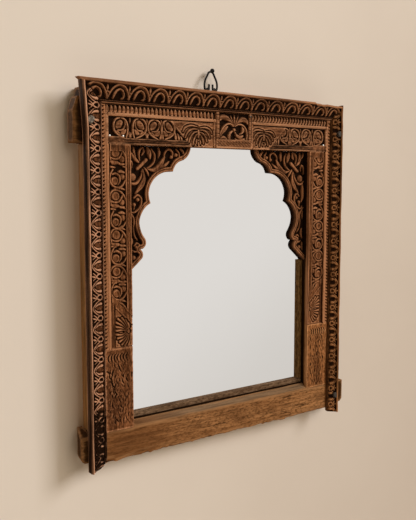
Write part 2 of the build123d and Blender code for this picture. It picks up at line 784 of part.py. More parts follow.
# Wooden dowels that hold the brackets to the stiles and the head
with BuildPart() as bracket_dowels:
    for place in side_dowel_places:
        for side in (-1, 1):
            with BuildSketch(Plane.YZ.offset(side * half_opening)):
                with Locations((-dowel_depth, place)):
                    Circle(dowel_diameter / 2)
            extrude(amount=dowel_length / 2, both=True)
    for place in top_dowel_places:
        with BuildSketch(Plane.XY.offset(opening_top)):
            with Locations((-place, -dowel_depth), (place, -dowel_depth)):
                Circle(dowel_diameter / 2)
        extrude(amount=dowel_length / 2, both=True)
bracket_dowels.part.label = "bracket_dowels"
export_step(bracket_dowels.part, "parts/bracket_dowels.step")

# Large round-headed nails in the border
one_nail = headed_pin(nail_head_diameter, nail_head_height, nail_shank_diameter, nail_length)
with BuildPart() as border_nails:
    with Locations(*[(x, -timber_depth - nail_seat, z) for x, z in nail_places]):
        add(one_nail)
border_nails.part.label = "border_nails"
export_step(border_nails.part, "parts/border_nails.step")

# Small headless pins along the cove of the border
with BuildPart() as border_pins:
    with BuildSketch(front(timber_depth + border_toe)):
        with Locations(*(top_pin_places + side_pin_places)):
            Circle(pin_diameter / 2)
    extrude(amount=-pin_length)
border_pins.part.label = "border_pins"
export_step(border_pins.part, "parts/border_pins.step")

# Brads at the outer corners of the head facings and at a corner of the palmette block
one_brad = headed_pin(brad_head_diameter, brad_head_height, brad_shank_diameter, brad_length)
with BuildPart() as facing_brads:
    with Locations(*[(x, -seat, z) for x, z, seat in brad_places]):
        add(one_brad)
facing_brads.part.label = "facing_brads"
export_step(facing_brads.part, "parts/facing_brads.step")

# Iron staples that hold the loop down on the head
hanger_level = head_top + hanger_height
front_leg = -hanger_depth - staple_leg
back_leg = staple_leg - hanger_depth
with BuildPart() as hanger_staples:
    for side in (-1, 1):
        with BuildLine(Plane.YZ.offset(hanger_offset + side * staple_offset)) as bend:
            Line((front_leg, head_top - staple_length), (front_leg, hanger_level))
            ThreePointArc((front_leg, hanger_level), (-hanger_depth, hanger_level + staple_leg),
                          (back_leg, hanger_level))
            Line((back_leg, hanger_level), (back_leg, head_top - staple_length))
        with BuildSketch(Plane(origin=bend.line @ 0, z_dir=bend.line % 0)):
            Circle(staple_wire / 2)
        sweep(path=bend.line)
hanger_staples.part.label = "hanger_staples"
export_step(hanger_staples.part, "parts/hanger_staples.step")

# Hanger loop: one bent wire, its ends turned up inside, its top bound with a knot of wire
with BuildPart() as hanger_loop:
    with BuildLine(front(hanger_depth)) as wire:
        half_path = [(loop_end_spread, loop_end_height), (loop_end_spread, 0), (loop_half_width, 0),
                     (loop_bulge_width, loop_bulge_height)]
        FilletPolyline(*[(hanger_offset - x, hanger_level + z) for x, z in half_path],
                       (hanger_offset, hanger_level + loop_apex_height),
                       *[(hanger_offset + x, hanger_level + z) for x, z in reversed(half_path)],
                       radius=[end_bend, corner_bend, bulge_bend, apex_bend,
                               bulge_bend, corner_bend, end_bend])
    with BuildSketch(Plane(origin=wire.line @ 0, z_dir=wire.line % 0)):
        Circle(wire_diameter / 2)
    sweep(path=wire.line)
    with Locations((hanger_offset + knot_offset, -hanger_depth, hanger_level + knot_height)):
        Sphere(knot_diameter / 2)
hanger_loop.part.label = "hanger_loop"
export_step(hanger_loop.part, "parts/hanger_loop.step")
print("loop wire length", round(sum(edge.length for edge in wire.line.edges()), 1), "mm")
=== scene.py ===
# %% [markdown]
# # Arch mirror frame
# An old carved window frame that holds a mirror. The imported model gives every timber, moulding and
# fastener its true size and place. This lesson dresses it: the carving is cut as real geometry, the
# plain timbers get worn faces, and each wood, metal and glass surface gets a procedural material.
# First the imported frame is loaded, and everything is deselected, because operators act on what is
# selected. Blender counts in metres, but the lesson thinks in millimetres, so a value in mm is
# multiplied by MM when it reaches Blender.

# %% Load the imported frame
import json
import math

import bpy
import numpy as np
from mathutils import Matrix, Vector

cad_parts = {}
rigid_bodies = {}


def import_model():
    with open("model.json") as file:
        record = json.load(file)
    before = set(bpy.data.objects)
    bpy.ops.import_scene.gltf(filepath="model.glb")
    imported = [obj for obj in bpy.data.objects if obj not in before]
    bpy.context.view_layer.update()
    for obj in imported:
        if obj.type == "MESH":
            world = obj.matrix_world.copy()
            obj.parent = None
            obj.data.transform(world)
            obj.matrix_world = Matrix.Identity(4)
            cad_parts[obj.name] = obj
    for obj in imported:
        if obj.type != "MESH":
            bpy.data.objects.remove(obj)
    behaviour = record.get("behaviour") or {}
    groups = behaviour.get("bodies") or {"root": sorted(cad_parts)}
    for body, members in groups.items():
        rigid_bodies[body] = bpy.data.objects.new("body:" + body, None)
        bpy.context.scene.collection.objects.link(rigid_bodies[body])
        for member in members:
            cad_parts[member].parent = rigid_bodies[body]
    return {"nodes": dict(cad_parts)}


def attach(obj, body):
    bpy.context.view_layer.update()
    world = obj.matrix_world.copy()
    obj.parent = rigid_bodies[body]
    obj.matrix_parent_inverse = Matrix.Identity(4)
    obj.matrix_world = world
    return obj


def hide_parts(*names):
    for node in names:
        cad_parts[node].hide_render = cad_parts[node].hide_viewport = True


MM = 0.001

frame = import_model()
bpy.ops.object.select_all(action="DESELECT")
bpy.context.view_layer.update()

# %% [markdown]
# ## Camera
# The photograph looks at the frame from its left and a little from above the middle. The place, turn
# and lens below come from the perspective of the frame's own straight edges, so the same edges fall
# on the same pixels of a 416 by 520 image.

# %% Camera
CAMERA_PLACE = (-0.8169, -1.1231, 0.1760)
CAMERA_TURN = (90 - 5.85, 0.04, -35.51)
LENS, SENSOR_WIDTH = 49.22, 36

camera_data = bpy.data.cameras.new("camera")
camera_data.lens = LENS
camera_data.sensor_width = SENSOR_WIDTH
camera = bpy.data.objects.new("camera", camera_data)
bpy.context.scene.collection.objects.link(camera)
camera.location = CAMERA_PLACE
camera.rotation_euler = [math.radians(turn) for turn in CAMERA_TURN]
bpy.context.scene.camera = camera
print("camera", tuple(round(c, 3) for c in camera.location), "lens", camera_data.lens)

# %% [markdown]
# ## Wall, floor and light
# The frame hangs flat on a warm pale wall, and a pale floor lies well below it. Both are thin sheets
# that vanish when they are seen from behind, so that a view of the frame's back isn't blocked. A large
# soft lamp stands to the right and above, which throws the soft shadow to the left of the frame, and
# a weak broad one fills from the middle. A lamp behind the wall lights the back of the frame.
#
# A material is a small tree of nodes. Three helpers build every tree in this lesson: one fills a
# node's sockets, one adds a node with its sockets filled, and one does arithmetic.

# %% Node helpers
def fill(tree, node, sockets):
    """Gives a node's sockets, by name or by place, a number or a colour, or links an output to them."""
    for label, value in sockets.items():
        if isinstance(value, bpy.types.NodeSocket):
            tree.links.new(value, node.inputs[label])
        else:
            node.inputs[label].default_value = value
    return node


def add_node(tree, kind, sockets=None):
    """A new shader node with its sockets filled."""
    return fill(tree, tree.nodes.new("ShaderNode" + kind), sockets or {})


def number(tree, operation, first, second=0.0):
    """The result of a Math node on sockets or numbers."""
    node = add_node(tree, "Math", {0: first, 1: second})
    node.operation = operation
    return node.outputs[0]


print("node helpers ready")

# %% Wall and floor
WALL_TONE = (0.716, 0.652, 0.596, 1)
FLOOR_TONE = (0.72, 0.64, 0.55, 1)
SHEET_SIZE = 6
WALL_PLACE = (0, 0.002, 0.8)
FLOOR_PLACE = (0, 0, -1.7)


def one_sided_paint(name, tone):
    """A matt paint that shows only on its front and casts no shadow."""
    paint = bpy.data.materials.new(name)
    paint.use_nodes = True
    tree = paint.node_tree
    tree.nodes.clear()
    side = add_node(tree, "NewGeometry")
    rays = add_node(tree, "LightPath")
    matt = add_node(tree, "BsdfDiffuse", {"Color": tone})
    clear = add_node(tree, "BsdfTransparent")
    unseen = number(tree, "MAXIMUM", side.outputs["Backfacing"], rays.outputs["Is Shadow Ray"])
    mix = add_node(tree, "MixShader", {0: unseen, 1: matt.outputs[0], 2: clear.outputs[0]})
    add_node(tree, "OutputMaterial", {"Surface": mix.outputs[0]})
    return paint


wall_paint = one_sided_paint("wall_paint", WALL_TONE)
floor_paint = one_sided_paint("floor_paint", FLOOR_TONE)
bpy.ops.mesh.primitive_plane_add(size=SHEET_SIZE, location=WALL_PLACE, rotation=(math.radians(90), 0, 0))
wall = bpy.context.object
wall.name = "wall"
wall.data.materials.append(wall_paint)
bpy.ops.mesh.primitive_plane_add(size=SHEET_SIZE, location=FLOOR_PLACE)
floor = bpy.context.object
floor.name = "floor"
floor.data.materials.append(floor_paint)
bpy.ops.object.select_all(action="DESELECT")
print("wall and floor", wall.name, floor.name)

# %% Lamps
# Each lamp has its place, the point it is aimed at, its size in metres, its power in watts and its tone.
LAMPS = {
    "key_lamp": ((5.3, -6.8, 4.8), (-2.6, 0, 0.2), 4.0, 728, (1.0, 0.975, 0.945)),
    "fill_lamp": ((0.4, -4.8, 1.9), (0, 0, 0), 3.0, 74, (1.0, 0.88, 0.72)),
    "back_lamp": ((-1.0, 2.2, 1.2), (0, 0, 0), 1.6, 30, (1, 1, 1)),
}
for name, (place, target, size, power, tone) in LAMPS.items():
    light = bpy.data.lights.new(name, "AREA")
    light.size = size
    light.energy = power
    light.color = tone
    lamp = bpy.data.objects.new(name, light)
    bpy.context.scene.collection.objects.link(lamp)
    lamp.location = place
    aim = Vector([t - p for t, p in zip(target, place)])
    lamp.rotation_euler = aim.to_track_quat("-Z", "Y").to_euler()
print("lamps", len(LAMPS))

# %% World
AIR_TONE = (1.0, 0.78, 0.45, 1)
AIR_STRENGTH = 0.20
ROOM_TONE = (0.735, 0.705, 0.67, 1)

world = bpy.data.worlds.new("studio")
bpy.context.scene.world = world
world.use_nodes = True
sky = world.node_tree
sky.nodes.clear()
rays = add_node(sky, "LightPath")
seen = number(sky, "MAXIMUM", rays.outputs["Is Camera Ray"], rays.outputs["Is Glossy Ray"])
seen = number(sky, "MAXIMUM", seen, rays.outputs["Is Transmission Ray"])
air = add_node(sky, "Background", {"Color": AIR_TONE, "Strength": AIR_STRENGTH})
room = add_node(sky, "Background", {"Color": ROOM_TONE, "Strength": 1.0})
blend = add_node(sky, "MixShader", {0: seen, 1: air.outputs[0], 2: room.outputs[0]})
add_node(sky, "OutputWorld", {"Surface": blend.outputs[0]})
bpy.context.scene.view_settings.view_transform = "Standard"
print("world", world.name)

# %% [markdown]
# ## Shared effects
# All the woods share two effects, so each is a node group. The first is grain: noise stretched along
# the timber, which gives fine streaks, wide blotches, specks, cracks and a height for bump. The second
# is patina with painted light: the hollows are painted dark, as dirt and as painted shade, and the
# crests are painted paler, as rubbed wear and as a painted highlight. Both follow two attributes that
# the carved and worn pieces carry, `ridge` (how far a point stands out of its surroundings) and
# `depth` (how dark a point is painted: dirt and painted shade deep in the carving, and painted shade
# in the cornice's cove and on its outer side, on the brackets' side walls, along the sill's groove and
# on the stiles beside the opening).

# %% Texture helpers
def times(tree, value, share):
    """A value multiplied by a number or by another value."""
    return number(tree, "MULTIPLY", value, share)


def plus(tree, value, more):
    """The sum of two values."""
    return number(tree, "ADD", value, more)


def noise(tree, vector, scale, detail, rough=0.55, warp=0.0):
    """The grey value of a Noise Texture on a vector."""
    return add_node(tree, "TexNoise", {"Vector": vector, "Scale": scale, "Detail": detail,
                                       "Roughness": rough, "Distortion": warp}).outputs["Fac"]


def ramp(tree, value, low, high):
    """A value spread softly so that low gives 0 and high gives 1, held between them."""
    node = add_node(tree, "MapRange", {"Value": value, "From Min": low, "From Max": high})
    node.interpolation_type = "SMOOTHSTEP"
    return node.outputs[0]


def colour_mix(tree, amount, first, second):
    """A colour mix, with the sockets picked by place because the Mix node repeats their names."""
    node = tree.nodes.new("ShaderNodeMix")
    node.data_type = "RGBA"
    return fill(tree, node, {0: amount, 6: first, 7: second}).outputs[2]


def new_group(name, inputs, outputs):
    """An empty node group with named sockets."""
    group = bpy.data.node_groups.new(name, "ShaderNodeTree")
    for label, kind, value in inputs:
        socket = group.interface.new_socket(name=label, in_out="INPUT", socket_type=kind)
        if value is not None:
            socket.default_value = value
    for label, kind in outputs:
        group.interface.new_socket(name=label, in_out="OUTPUT", socket_type=kind)
    return group, group.nodes.new("NodeGroupInput"), group.nodes.new("NodeGroupOutput")


print("texture helpers ready")

# %% Grain group
GRAIN_MARKS = ("Streaks", "Blotches", "Specks", "Cracks", "Height")

grain, grain_in, grain_out = new_group("wood_grain", [("Vector", "NodeSocketVector", None)],
                                       [(label, "NodeSocketFloat") for label in GRAIN_MARKS])


def grain_noise(scale, detail, rough, warp=0.0):
    """Noise that is squeezed across the grain, so that it makes lines along it."""
    squeezed = add_node(grain, "Mapping", {"Vector": grain_in.outputs[0], "Scale": scale})
    return noise(grain, squeezed.outputs[0], 1.0, detail, rough, warp)


fine = grain_noise((14, 260, 260), 5, 0.6, 0.3)
wide = grain_noise((5, 60, 60), 4, 0.55, 0.6)
blots = grain_noise((9, 22, 22), 4, 0.6, 0.4)
specks = grain_noise((160, 420, 420), 3, 0.6)
thin = grain_noise((22, 520, 520), 3, 0.5, 0.8)
streaks = plus(grain, times(grain, fine, 0.6), times(grain, wide, 0.4))
cracks = times(grain, ramp(grain, thin, 0.55, 0.66), ramp(grain, wide, 0.40, 0.62))
height = plus(grain, fine, times(grain, specks, 0.5))
height = number(grain, "SUBTRACT", height, times(grain, cracks, 0.9))
fill(grain, grain_out, dict(zip(GRAIN_MARKS, (streaks, blots, specks, cracks, height))))
print("group", grain.name, "nodes", len(grain.nodes))

# %% Patina and painted light group
patina_and_light, surface_in, surface_out = new_group(
    "patina_and_light",
    [("Wood", "NodeSocketColor", (0.2, 0.1, 0.05, 1)), ("DirtAndShade", "NodeSocketColor", (0.02, 0.01, 0.006, 1)),
     ("RubbedAndHighlight", "NodeSocketColor", (0.4, 0.25, 0.15, 1)), ("Blotches", "NodeSocketFloat", 0.5),
     ("Streaks", "NodeSocketFloat", 0.5)],
    [("Color", "NodeSocketColor")],
)


def point_mark(name):
    """The value of one of a piece's attributes."""
    node = patina_and_light.nodes.new("ShaderNodeAttribute")
    node.attribute_name = name
    return node.outputs["Fac"]


ridge = point_mark("ridge")
# Painted shade together with dirt: points below their surroundings and deep in the carving are painted dark.
hollow_by_shape = ramp(patina_and_light, times(patina_and_light, ridge, -1.0), 0.05, 0.9)
hollow_by_depth = ramp(patina_and_light, point_mark("depth"), 0.35, 0.95)
hollow = number(patina_and_light, "MAXIMUM", times(patina_and_light, hollow_by_shape, 0.85),
                times(patina_and_light, hollow_by_depth, 0.985))
uneven = times(patina_and_light, surface_in.outputs["Blotches"], 0.3)
# Painted highlight together with rubbed wear: the crests are painted paler.
crest = ramp(patina_and_light, plus(patina_and_light, ridge, uneven), 0.25, 1.0)
patchy = plus(patina_and_light, 0.25, times(patina_and_light, ramp(patina_and_light, surface_in.outputs["Streaks"], 0.36, 0.62), 0.7))
rubbed_and_highlight = colour_mix(patina_and_light, times(patina_and_light, crest, patchy), surface_in.outputs["Wood"],
                    surface_in.outputs["RubbedAndHighlight"])
fill(patina_and_light, surface_out, {"Color": colour_mix(patina_and_light, hollow, rubbed_and_highlight, surface_in.outputs["DirtAndShade"])})
print("group", patina_and_light.name, "nodes", len(patina_and_light.nodes))

# %% [markdown]
# ## Wall paint
# The wall is painted darker and warmer from the left to the lower right, a painted shade, with
# faint clouds.
# The paint mixes two tones along a slanted ramp over the wall's own coordinates, so the change stays
# on the wall whatever the view.

# %% Wall tone
SHADED_WALL_TONE = (0.525, 0.455, 0.398, 1)


def axes(tree, vector):
    """The X, Y and Z of a vector."""
    return add_node(tree, "SeparateXYZ", {0: vector}).outputs


tree = wall_paint.node_tree
place = add_node(tree, "TexCoord").outputs["Object"]
across, up, _ = axes(tree, place)
slant = number(tree, "SUBTRACT", across, times(tree, up, 0.45))
slant = plus(tree, slant, times(tree, noise(tree, place, 3.0, 3), 0.35))
# Painted shade: the wall is painted darker towards its lower right.
wall_tone_with_shade = colour_mix(tree, ramp(tree, slant, 0.0, 1.75), WALL_TONE, SHADED_WALL_TONE)
fill(tree, tree.nodes["Diffuse BSDF"], {"Color": wall_tone_with_shade})
print("wall tone set")

# %% [markdown]
# ## Woods
# One function builds each wood, with its own colours and its own grain direction. The colour runs
# between a dark and a light tone with the streaks, the blotches darken or redden whole areas, specks
# and cracks come over them, and the group of patina and painted light comes last. Roughness is high,
# since the timber is unvarnished. Bands from some distance outwards give some timbers other tones,
# among them painted shade over the ears of the head and the sill, where the cornice shades them, lighter
# on the left ears' end faces. A wood can also take a tone for the faces that look up, as the sill's
# top does.

# %% Colours of a wood
ALONG_X = (0, 0, 0)
ALONG_Z = (0, math.radians(90), 0)
ALONG_Y = (math.radians(90), 0, math.radians(90))
FRESH = 1.13


def shaded(colour, share=1.0):
    """A colour for a socket, at a share of its brightness."""
    return tuple(c * share for c in colour) + (1,)


def grain_colour(tree, lines, dark, light, stain, dirt_and_shade, rubbed_and_highlight, spread):
    """The wood's own colour: streaks, blotches, cracks, and dark and pale specks."""
    specks = lines["Specks"]
    pale = tuple(0.5 * (a + b) for a, b in zip(light, rubbed_and_highlight))
    tone = colour_mix(tree, ramp(tree, lines["Streaks"], 0.5 - spread, 0.5 + spread),
                      shaded(dark), shaded(light))
    for amount, cover in (
        (ramp(tree, lines["Blotches"], 0.45, 0.75), shaded(stain)),
        (times(tree, lines["Cracks"], 0.8), shaded(dirt_and_shade)),
        (times(tree, ramp(tree, specks, 0.48, 0.64), 0.7), shaded(dark, 0.42)),
        (times(tree, ramp(tree, specks, 0.44, 0.30), 0.5), shaded(pale)),
    ):
        tone = colour_mix(tree, amount, tone, cover)
    return tone


def crown_colour(tree, lines, place, tone, crown):
    """The tone of the faces that look up, laid over the wood's colour."""
    streaky = ramp(tree, lines["Streaks"], 0.38, 0.62)
    bleached = colour_mix(tree, streaky, shaded(crown, 0.55), shaded(crown))
    upward = ramp(tree, axes(tree, place["Normal"])[2], 0.55, 0.85)
    return colour_mix(tree, times(tree, upward, 0.85), tone, bleached)


def band_colour(tree, lines, place, tone, bands):
    """Bands of other tones, laid over the wood's colour from some distance outwards; some are painted shade.
    """
    across = axes(tree, place["Object"])[0]
    for side, start, soft, colour, share in bands:
        out = times(tree, across, side) if side else number(tree, "ABSOLUTE", across)
        cover = times(tree, ramp(tree, out, start * MM, (start + soft) * MM), share)
        streaky = ramp(tree, lines["Streaks"], 0.40, 0.60)
        tone = colour_mix(tree, cover, tone, colour_mix(tree, streaky, shaded(colour, 0.6), shaded(colour)))
    return tone


print("wood colours ready")

# %% Wood materials
DULL_SPECULAR = 0.015
BUMP_DISTANCE = 0.0012


def group_node(tree, group, sockets):
    """A node that stands for a node group."""
    node = tree.nodes.new("ShaderNodeGroup")
    node.node_tree = group
    return fill(tree, node, sockets).outputs


def wood(name, turn, dark, light, stain, dirt_and_shade, rubbed_and_highlight, rough=0.62, bump=0.25,
         bands=(), spread=0.12, crown=None):
    """An aged wood whose grain runs along X, or along another axis where it is turned.

    Each band is a side (-1 left, 1 right, 0 both), its distance from the middle in mm, how soft it starts, a
    colour and how strongly it covers. The crown is the tone of the faces that look up.
    """
    dark, light, stain, rubbed_and_highlight = (tuple(c * FRESH for c in tone) for tone in (dark, light, stain, rubbed_and_highlight))
    material = bpy.data.materials.new(name)
    material.use_nodes = True
    tree = material.node_tree
    place = add_node(tree, "TexCoord").outputs
    turned = add_node(tree, "Mapping", {"Vector": place["Object"], "Rotation": turn})
    lines = group_node(tree, grain, {"Vector": turned.outputs[0]})
    tone = grain_colour(tree, lines, dark, light, stain, dirt_and_shade, rubbed_and_highlight, spread)
    if crown:
        tone = crown_colour(tree, lines, place, tone, crown)
    if bands:
        tone = band_colour(tree, lines, place, tone, bands)
    aged = group_node(tree, patina_and_light, {"Wood": tone, "DirtAndShade": shaded(dirt_and_shade), "RubbedAndHighlight": shaded(rubbed_and_highlight),
                                     "Blotches": lines["Blotches"], "Streaks": lines["Streaks"]})
    relief = add_node(tree, "Bump", {"Strength": bump, "Distance": BUMP_DISTANCE, "Height": lines["Height"]})
    dull = plus(tree, times(tree, lines["Streaks"], -0.25), rough + 0.12)
    fill(tree, tree.nodes["Principled BSDF"], {
        "Base Color": aged["Color"], "Roughness": dull, "Specular IOR Level": DULL_SPECULAR,
        "Normal": relief.outputs[0]})
    return material


print("wood maker ready")

# %% Carved woods
# The dark tone of dirt and painted shade in the hollows, and of the cracks.
DIRT_AND_SHADE = (0.0085, 0.0032, 0.0011)
carved_x = wood("carved_wood_across", ALONG_X, (0.080, 0.030, 0.0120), (0.265, 0.110, 0.049),
                (0.062, 0.023, 0.0090), DIRT_AND_SHADE, (0.43, 0.215, 0.115))
carved_z = wood("carved_wood_upright", ALONG_Z, (0.070, 0.0245, 0.0085), (0.238, 0.092, 0.037),
                (0.058, 0.0205, 0.0078), DIRT_AND_SHADE, (0.39, 0.180, 0.088))
foot_z = wood("foot_wood", ALONG_Z, (0.100, 0.036, 0.012), (0.345, 0.140, 0.050),
              (0.085, 0.031, 0.011), DIRT_AND_SHADE, (0.46, 0.22, 0.095))
cornice_x = wood("cornice_wood_across", ALONG_X, (0.055, 0.020, 0.0085), (0.165, 0.064, 0.027),
                 (0.040, 0.0145, 0.006), DIRT_AND_SHADE, (0.33, 0.155, 0.078))
# Its pale rubbed tone also paints a highlight on the crests.
cornice_left = wood("cornice_wood_left", ALONG_Z, (0.058, 0.020, 0.0080), (0.185, 0.068, 0.026),
                    (0.040, 0.0145, 0.006), DIRT_AND_SHADE, (0.56, 0.30, 0.185))
cornice_right = wood("cornice_wood_right", ALONG_Z, (0.036, 0.0130, 0.0045), (0.122, 0.045, 0.015),
                     (0.026, 0.0095, 0.0033), DIRT_AND_SHADE, (0.34, 0.155, 0.064))
bracket_z = wood("bracket_wood", ALONG_Z, (0.046, 0.0165, 0.0070), (0.150, 0.060, 0.027),
                 (0.045, 0.016, 0.006), DIRT_AND_SHADE, (0.34, 0.150, 0.070))
print("carved woods made")

# %% Plain woods
# Painted shade over the head rail's ears, where the cornice shades them, lighter on the left ear's end face.
BEAM_SHADE_BANDS = ((0, 286, 6, (0.060, 0.026, 0.009), 1.0), (-1, 303.0, 4, (0.118, 0.056, 0.020), 0.9))
# A darker tone over the sill's left part, then painted shade over its ears, lighter on the left ear's end
# face.
SILL_TONE_AND_SHADE_BANDS = ((-1, 60, 150, (0.160, 0.062, 0.020), 0.75), (0, 286, 6, (0.052, 0.022, 0.0075), 1.0),
              (-1, 300.0, 4, (0.072, 0.032, 0.012), 0.95))
STILE_BANDS = ((0, 284.5, 2.5, (0.37, 0.185, 0.066), 0.9),)
SILL_CROWN = (0.235, 0.150, 0.088)

beam_x = wood("beam_wood", ALONG_X, (0.100, 0.034, 0.009), (0.33, 0.140, 0.045),
              (0.075, 0.025, 0.007), (0.020, 0.0075, 0.0025), (0.24, 0.115, 0.046), 0.6, 0.45, BEAM_SHADE_BANDS)
sill_x = wood("sill_wood", ALONG_X, (0.126, 0.050, 0.017), (0.37, 0.176, 0.070),
              (0.100, 0.040, 0.014), (0.014, 0.0055, 0.002), (0.26, 0.130, 0.056), 0.7, 0.7,
              SILL_TONE_AND_SHADE_BANDS, spread=0.20, crown=SILL_CROWN)
stile_z = wood("stile_wood", ALONG_Z, (0.070, 0.026, 0.008), (0.205, 0.085, 0.027),
               (0.045, 0.017, 0.006), (0.014, 0.006, 0.0025), (0.30, 0.14, 0.055), 0.6, 0.45, STILE_BANDS)
slip_x = wood("slip_wood_across", ALONG_X, (0.085, 0.046, 0.025), (0.215, 0.135, 0.080),
              (0.065, 0.035, 0.018), (0.015, 0.008, 0.005), (0.33, 0.225, 0.145), 0.7, 0.3)
slip_z = wood("slip_wood_upright", ALONG_Z, (0.080, 0.040, 0.013), (0.230, 0.125, 0.047),
              (0.060, 0.029, 0.010), (0.013, 0.006, 0.0025), (0.26, 0.15, 0.065), 0.7, 0.3)
board_z = wood("back_board_wood", ALONG_Z, (0.20, 0.115, 0.058), (0.36, 0.23, 0.13),
               (0.16, 0.09, 0.045), (0.05, 0.03, 0.02), (0.4, 0.27, 0.17), 0.65, 0.3)
peg_wood = wood("peg_wood", ALONG_Y, (0.12, 0.055, 0.024), (0.24, 0.12, 0.056),
                (0.09, 0.042, 0.018), DIRT_AND_SHADE, (0.3, 0.16, 0.08))
print("woods", len([m for m in bpy.data.materials if "wood" in m.name]))

# %% [markdown]
# ## Metals and mirror
# The loop and its staples are black iron, barely glossy. The nail heads are worn grey iron, painted
# dark on the right as painted shade. The brads are bright, apart from the two beside the block, which
# are dull. The mirror is a silvered plate with a slight softness, which shows the pale room; its
# silver is painted a little dimmer towards its lower right, a painted shade on its reflection.

# %% Metals
SHADED_NAIL = (0.040, 0.032, 0.026)
BRAD = (0.78, 0.76, 0.72)
DULL_BRAD = (0.10, 0.075, 0.055)
DENT_DISTANCE = 0.0006


def metal(name, dark, light, rough, metallic=1.0, scale=180.0, bump=0.3, shine=0.5, place_tone=None):
    """A metal whose colour and gloss change in small patches.

    A place tone is another tone, the X in metres where it starts and is full, and whether X counts from
    the middle to both sides.
    """
    material = bpy.data.materials.new(name)
    material.use_nodes = True
    tree = material.node_tree
    place = add_node(tree, "TexCoord").outputs["Object"]
    patches = noise(tree, place, scale, 4)
    base = colour_mix(tree, ramp(tree, patches, 0.35, 0.65), shaded(dark), shaded(light))
    if place_tone:
        tone, start, full, both_sides = place_tone
        across = axes(tree, place)[0]
        across = number(tree, "ABSOLUTE", across) if both_sides else across
        base = colour_mix(tree, ramp(tree, across, start, full), base, shaded(tone))
    dents = add_node(tree, "Bump", {"Strength": bump, "Distance": DENT_DISTANCE, "Height": patches})
    gloss = plus(tree, times(tree, patches, 0.25), rough - 0.1)
    fill(tree, tree.nodes["Principled BSDF"], {"Base Color": base, "Roughness": gloss, "Metallic": metallic,
                                               "Specular IOR Level": shine, "Normal": dents.outputs[0]})
    return material


black_iron = metal("black_iron", (0.004, 0.004, 0.004), (0.014, 0.012, 0.010), 0.5, 0.5, shine=0.15)
# Painted shade: the nails on the right are painted dark.
grey_iron = metal("worn_nail_iron", (0.060, 0.047, 0.036), (0.30, 0.25, 0.20), 0.6, 0.15, 260.0, 0.9, 0.2,
                  place_tone=(SHADED_NAIL, -0.1, 0.1, False))
bright_steel = metal("bright_brad_steel", BRAD, BRAD, 0.35, 0.5, place_tone=(DULL_BRAD, 0.15, 0.09, True))
screw_steel = metal("screw_steel", (0.35, 0.33, 0.30), (0.6, 0.58, 0.55), 0.4, 1.0)
print("metals made")

# %% Mirror plate
CLEAR_SILVER = (0.985, 0.985, 0.985, 1)
SHADED_SILVER = (0.85, 0.84, 0.825, 1)

mirror = bpy.data.materials.new("mirror_plate")
mirror.use_nodes = True
tree = mirror.node_tree
place = add_node(tree, "TexCoord").outputs["Object"]
haze = noise(tree, place, 6.0, 3)
across, _, up = axes(tree, place)
slant = number(tree, "SUBTRACT", times(tree, across, 0.6), up)
slant = ramp(tree, plus(tree, slant, times(tree, haze, 0.05)), -0.03, 0.40)
# Painted shade: the silver is painted dimmer towards the lower right.
silver = colour_mix(tree, slant, CLEAR_SILVER, SHADED_SILVER)
fill(tree, tree.nodes["Principled BSDF"], {"Base Color": silver, "Metallic": 1.0,
                                           "Roughness": times(tree, haze, 0.06)})
print("mirror made")

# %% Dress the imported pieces
PACKED_LOOKS = (
    (mirror, ("mirror_glass",)),
    (board_z, ("backboard",)),
    (screw_steel, ("backboard_screws",)),
    (peg_wood, ("joint_pegs", "bracket_dowels")),
    (grey_iron, ("border_nails",)),
    (black_iron, ("border_pins", "hanger_staples", "hanger_loop")),
    (bright_steel, ("facing_brads",)),
    (slip_x, ("bottom_slip",)),
    (slip_z, ("left_slip", "right_slip")),
    (beam_x, ("head_rail", "sill_rail")),
    (stile_z, ("left_stile", "right_stile")),
    (cornice_x, ("top_border",)),
    (cornice_left, ("left_border",)),
    (cornice_right, ("right_border",)),
    (carved_x, ("top_left_teeth", "top_right_teeth", "left_head_facing", "right_head_facing")),
    (carved_z, ("left_teeth", "right_teeth", "left_vine_facing", "right_vine_facing", "left_foot_facing",
                "right_foot_facing", "centre_block", "left_bracket", "right_bracket")),
)
for material, nodes in PACKED_LOOKS:
    for node in nodes:
        mesh = frame["nodes"][node].data
        mesh.materials.clear()
        mesh.materials.append(material)
print("dressed", sum(len(nodes) for material, nodes in PACKED_LOOKS), "of", len(frame["nodes"]))

# %% [markdown]
# ## How the carving is cut
# Real carving of this kind is a flat board whose ground was chiselled away round ribs, leaves and
# buds, whose tops were then rounded. It is made here the same way: a fine grid stands for the board's
# face, and each rib or leaf is a tapering stroke, a smooth line with a width and a height at every
# point, that raises the grid under it. The grid is then closed at the back, so each carved piece is a
# solid. This is done on the grid's own points, because sculpting by hand isn't possible in a script
# and hundreds of strokes repeat. A stroke is a kind and its points, and each point has its place
# across and up, its half width and its height, all in mm.

# %% Strokes
PITS = np.random.RandomState(7)
LEAST_WIDTH = 0.15
WIDTH_CHANGE = 0.08


def held(value):
    """A value held between 0 and 1."""
    return np.clip(value, 0, 1)


def smooth_line(points, steps=7):
    """A smooth line through rows of place, half width and height."""
    p = np.asarray(points, float)
    p = np.vstack([2 * p[0] - p[1], p, 2 * p[-1] - p[-2]])
    t = np.linspace(0, 1, steps, endpoint=False)[:, None]
    rows = []
    for a, b, c, d in zip(p[:-3], p[1:-2], p[2:-1], p[3:]):
        bend = (2 * a - 5 * b + 4 * c - d) * t**2
        rows.append(0.5 * (2 * b + (c - a) * t + bend + (3 * b - a - 3 * c + d) * t**3))
    line = np.vstack(rows + [p[-2:-1]])
    line[:, 2] = np.maximum(line[:, 2], LEAST_WIDTH)
    return line


